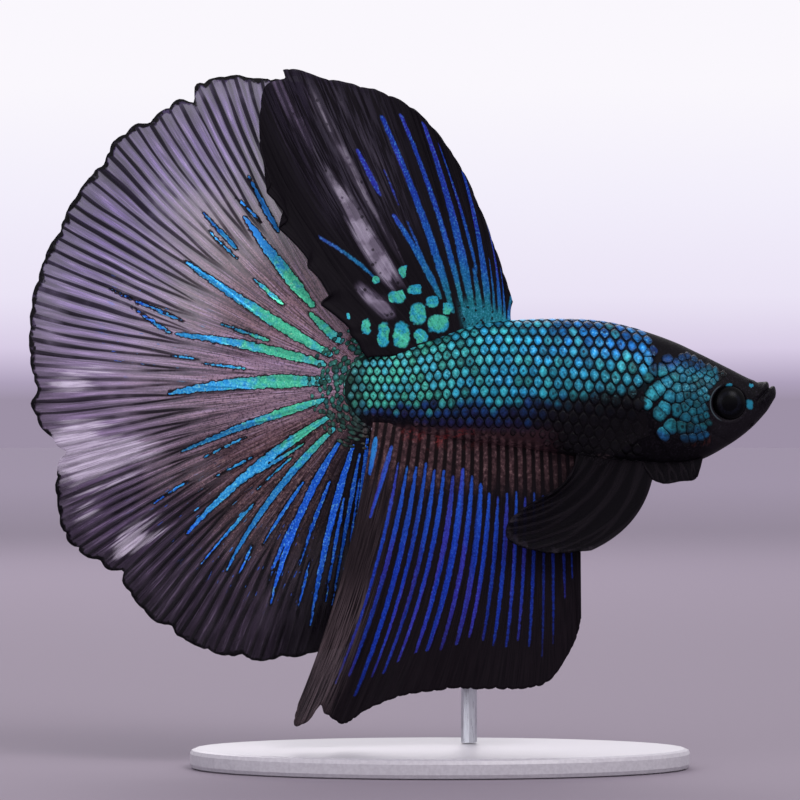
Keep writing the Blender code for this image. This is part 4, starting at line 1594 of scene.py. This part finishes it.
# Where the membranes are worn clear: u, v, how far in u, how far in v, how strongly.
TAIL_CLEAR = (
    (0.447, 0.82, 0.006, 0.10, 0.95),
    (0.468, 0.89, 0.010, 0.07, 1.0),
    (0.512, 0.88, 0.010, 0.09, 0.8),
    (0.532, 0.97, 0.016, 0.09, 1.7),
    (0.545, 0.90, 0.015, 0.14, 1.7),
    (0.560, 0.82, 0.012, 0.14, 1.2),
    (0.575, 0.90, 0.012, 0.08, 0.9),
    (0.578, 0.77, 0.006, 0.11, 1.1),
    (0.600, 0.80, 0.005, 0.12, 0.8),
    (0.625, 0.91, 0.020, 0.06, 0.45),
    (0.675, 0.83, 0.007, 0.10, 0.75),
    (0.686, 0.88, 0.008, 0.07, 1.1),
    (0.698, 0.84, 0.005, 0.08, 0.7),
    (0.30, 0.60, 0.10, 0.12, 0.14),
    (0.20, 0.58, 0.06, 0.12, 0.14),
)
DORSAL_CLEAR = (
    (0.800, 0.95, 0.022, 0.10, 0.75),
    (0.782, 0.80, 0.016, 0.12, 0.6),
    (0.765, 0.60, 0.018, 0.07, 0.7),
    (0.762, 0.50, 0.028, 0.09, 1.15),
    (0.770, 0.38, 0.034, 0.09, 1.2),
    (0.778, 0.28, 0.034, 0.07, 0.95),
    (0.735, 0.30, 0.016, 0.10, 0.55),
    (0.895, 0.26, 0.026, 0.06, 1.0),
    (0.872, 0.19, 0.038, 0.04, 1.1),
    (0.715, 0.88, 0.018, 0.10, 0.5),
    (0.706, 0.72, 0.018, 0.12, 0.8),
    (0.700, 0.54, 0.016, 0.12, 0.65),
    (0.688, 0.36, 0.016, 0.10, 0.6),
    (0.660, 0.93, 0.015, 0.10, 0.4),
    (0.630, 0.76, 0.015, 0.12, 0.5),
    (0.605, 0.60, 0.015, 0.10, 0.4),
    (0.850, 0.86, 0.016, 0.12, 0.35),
)
# Where the dorsal fin's streaks turn teal, given in the same way.
DORSAL_TEAL = (
    (0.87, 0.4, 0.1, 0.2, 1.0),
    (0.7, 0.08, 0.35, 0.1, 1.0),
    (0.0, 0.5, 0.04, 0.7, 1.0),
)
# Each paired fin's rays, base and distances from the middle, at its root and tip.
PELVIC = (PELVIC_RAYS, PELVIC_BASE, PELVIC_SIDE)
PECTORAL = (PECTORAL_RAYS, PECTORAL_BASE, PECTORAL_SIDE)
THROAT = (THROAT_RAYS, THROAT_BASE, THROAT_SIDE)


def thin(u, v):
    return 0.25


def make_fins():
    fields = (("streak", streak_field(TAIL_STREAKS)), ("clear", blobs(*TAIL_CLEAR)))
    tail = make_fin("tail_fan", tail_point, (320, 84), tail_finish(), fields)
    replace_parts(tail, "tail_fin")
    fields = (
        ("streak", streak_field(DORSAL_STREAKS, 0.35)),
        ("clear", blobs(*DORSAL_CLEAR)),
        ("teal", blobs(*DORSAL_TEAL)),
    )
    dorsal = make_fin(
        "dorsal_sail", dorsal_point, (240, 90), dorsal_finish(), fields
    )
    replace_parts(dorsal, "dorsal_fin")
    fields = (("streak", streak_field(anal_streaks(), 0.4)),)
    anal = make_fin("anal_sail", anal_point, (320, 80), anal_finish(), fields)
    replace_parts(anal, "anal_fin")
    paired = (
        ("pelvic_sabre", "pelvic_fin", PELVIC, (60, 50), 6, (0.98, 0.84)),
        ("pectoral_fan", "pectoral_fin", PECTORAL, (60, 30), 10, (0.3, 0.1)),
        ("throat_membrane", "gill_membrane", THROAT, (40, 16), 5, (0.98, 0.95)),
    )
    for label, node, (rays, base, sides), grid, stems, film in paired:
        fine = fine_rays(rays)
        finish = dark_fin_finish(label, stems, film)
        for side, side_name in SIDES.items():
            point = partial(paired_point, fine, base, sides, side)
            name = f"{label}_{side_name}"
            piece = make_fin(name, point, grid, finish, thickness=thin)
            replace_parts(piece, f"{node}_{side_name}")


# ---- the stand ----
def dress_stand():
    n = Nodes("satin_paint")
    grain = n.grain(n.place(), 3.0, 4.0)
    base = n.finish(
        Base_Color=n.mix(n.step(grain, 0.3, 0.7), (158, 154, 162), (168, 164, 172)),
        Roughness=n.step(grain, 0.3, 0.7, 0.46, 0.38),
        Normal=n.bump(grain, 0.01),
    )
    n = Nodes("brushed_steel")
    x, y, z = n.split(n.place())
    brush = n.grain(n.join(x * 14.0, y * 14.0, z * 0.6), 1.0, 3.0)
    rod = n.finish(
        Base_Color=n.mix(n.step(brush, 0.3, 0.7), (176, 178, 184), (200, 202, 208)),
        Metallic=1.0,
        Roughness=n.step(brush, 0.2, 0.8, 0.42, 0.24),
        Normal=n.bump(brush, 0.01),
    )
    for node, finish in (("stand_base", base), ("stand_rod", rod)):
        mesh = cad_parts[node].data
        mesh.materials.clear()
        mesh.materials.append(finish)


# ---- the studio ----
# The backdrop: how high above the horizon, and the colour there.
BACKDROP = (
    (0.0, (156, 144, 165)),
    (0.0045, (176, 163, 190)),
    (0.0113, (215, 203, 228)),
    (0.0225, (234, 227, 245)),
    (0.045, (242, 238, 251)),
    (0.07, (250, 247, 253)),
)


# The lamps' names, places, sizes, powers and colours, and the point that they face.
LAMPS = (
    ("key", (0.25, -0.45, 0.5), 0.3, 3.0, (1.0, 0.98, 0.97)),
    ("fill", (-0.4, -0.4, 0.2), 0.4, 0.8, (0.95, 0.95, 1.0)),
    ("back", (-0.1, 0.5, 0.4), 0.4, 1.5, (1.0, 0.97, 1.0)),
)
LAMPS_FACE = Vector((0, 0, 0.04))


def make_backdrop():
    world = bpy.data.worlds.new("studio")
    bpy.context.scene.world = world
    world.use_nodes = True
    tree = world.node_tree
    background = tree.nodes["Background"]
    coordinate = tree.nodes.new("ShaderNodeTexCoord")
    split = tree.nodes.new("ShaderNodeSeparateXYZ")
    ramp = tree.nodes.new("ShaderNodeValToRGB")
    tree.links.new(coordinate.outputs["Generated"], split.inputs[0])
    tree.links.new(split.outputs[2], ramp.inputs[0])
    tree.links.new(ramp.outputs[0], background.inputs["Color"])
    stops = ramp.color_ramp.elements
    while len(stops) < len(BACKDROP):
        stops.new(1.0)
    for stop, (height, colour) in zip(stops, BACKDROP, strict=True):
        stop.position = height
        stop.color = (*srgb(*colour), 1)


def make_floor():
    bm = bmesh.new()
    bmesh.ops.create_circle(bm, cap_ends=True, segments=96, radius=3.0)
    mesh = bpy.data.meshes.new("floor")
    bm.to_mesh(mesh)
    bm.free()
    n = Nodes("floor_card")
    x, y, _ = n.split(n.place())
    # Painted light: the floor is darker near the middle and lighter far off, to even out the lamps'
    # light, which falls off with distance.
    card = n.mix(n.step(n.length(x, y), 120.0, 1600.0), (125, 116, 128), (155, 144, 162))
    mesh.materials.append(n.finish(Base_Color=card, Roughness=0.85, Specular_IOR_Level=0.1))
    floor = bpy.data.objects.new("floor", mesh)
    bpy.context.scene.collection.objects.link(floor)


def make_studio():
    scene = bpy.context.scene
    scene.view_settings.view_transform = "Standard"
    make_backdrop()
    make_floor()
    for name, place, size, power, colour in LAMPS:
        light = bpy.data.lights.new(name, "AREA")
        light.size = size
        light.energy = power
        light.color = colour
        lamp = bpy.data.objects.new(name, light)
        scene.collection.objects.link(lamp)
        lamp.location = Vector(place)
        lamp.rotation_euler = (LAMPS_FACE - lamp.location).to_track_quat("-Z", "Y").to_euler()
    camera = bpy.data.objects.new("camera", bpy.data.cameras.new("camera"))
    scene.collection.objects.link(camera)
    camera.data.sensor_width = 36.0
    camera.data.lens = 200.0
    camera.data.clip_start, camera.data.clip_end = 0.01, 20.0
    camera.location = (-0.004, -0.4444, 0.0368)
    camera.rotation_euler = (math.pi / 2, 0, 0)
    scene.camera = camera


def main():
    skin = make_skin()
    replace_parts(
        skin, "head", "lower_jaw", "trunk", "tail_stalk", "gill_cover_left", "gill_cover_right"
    )
    for side, side_name in SIDES.items():
        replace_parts(make_eye(side), f"eye_{side_name}")
        make_scales(side)
    make_fins()
    dress_stand()
    make_studio()


main()
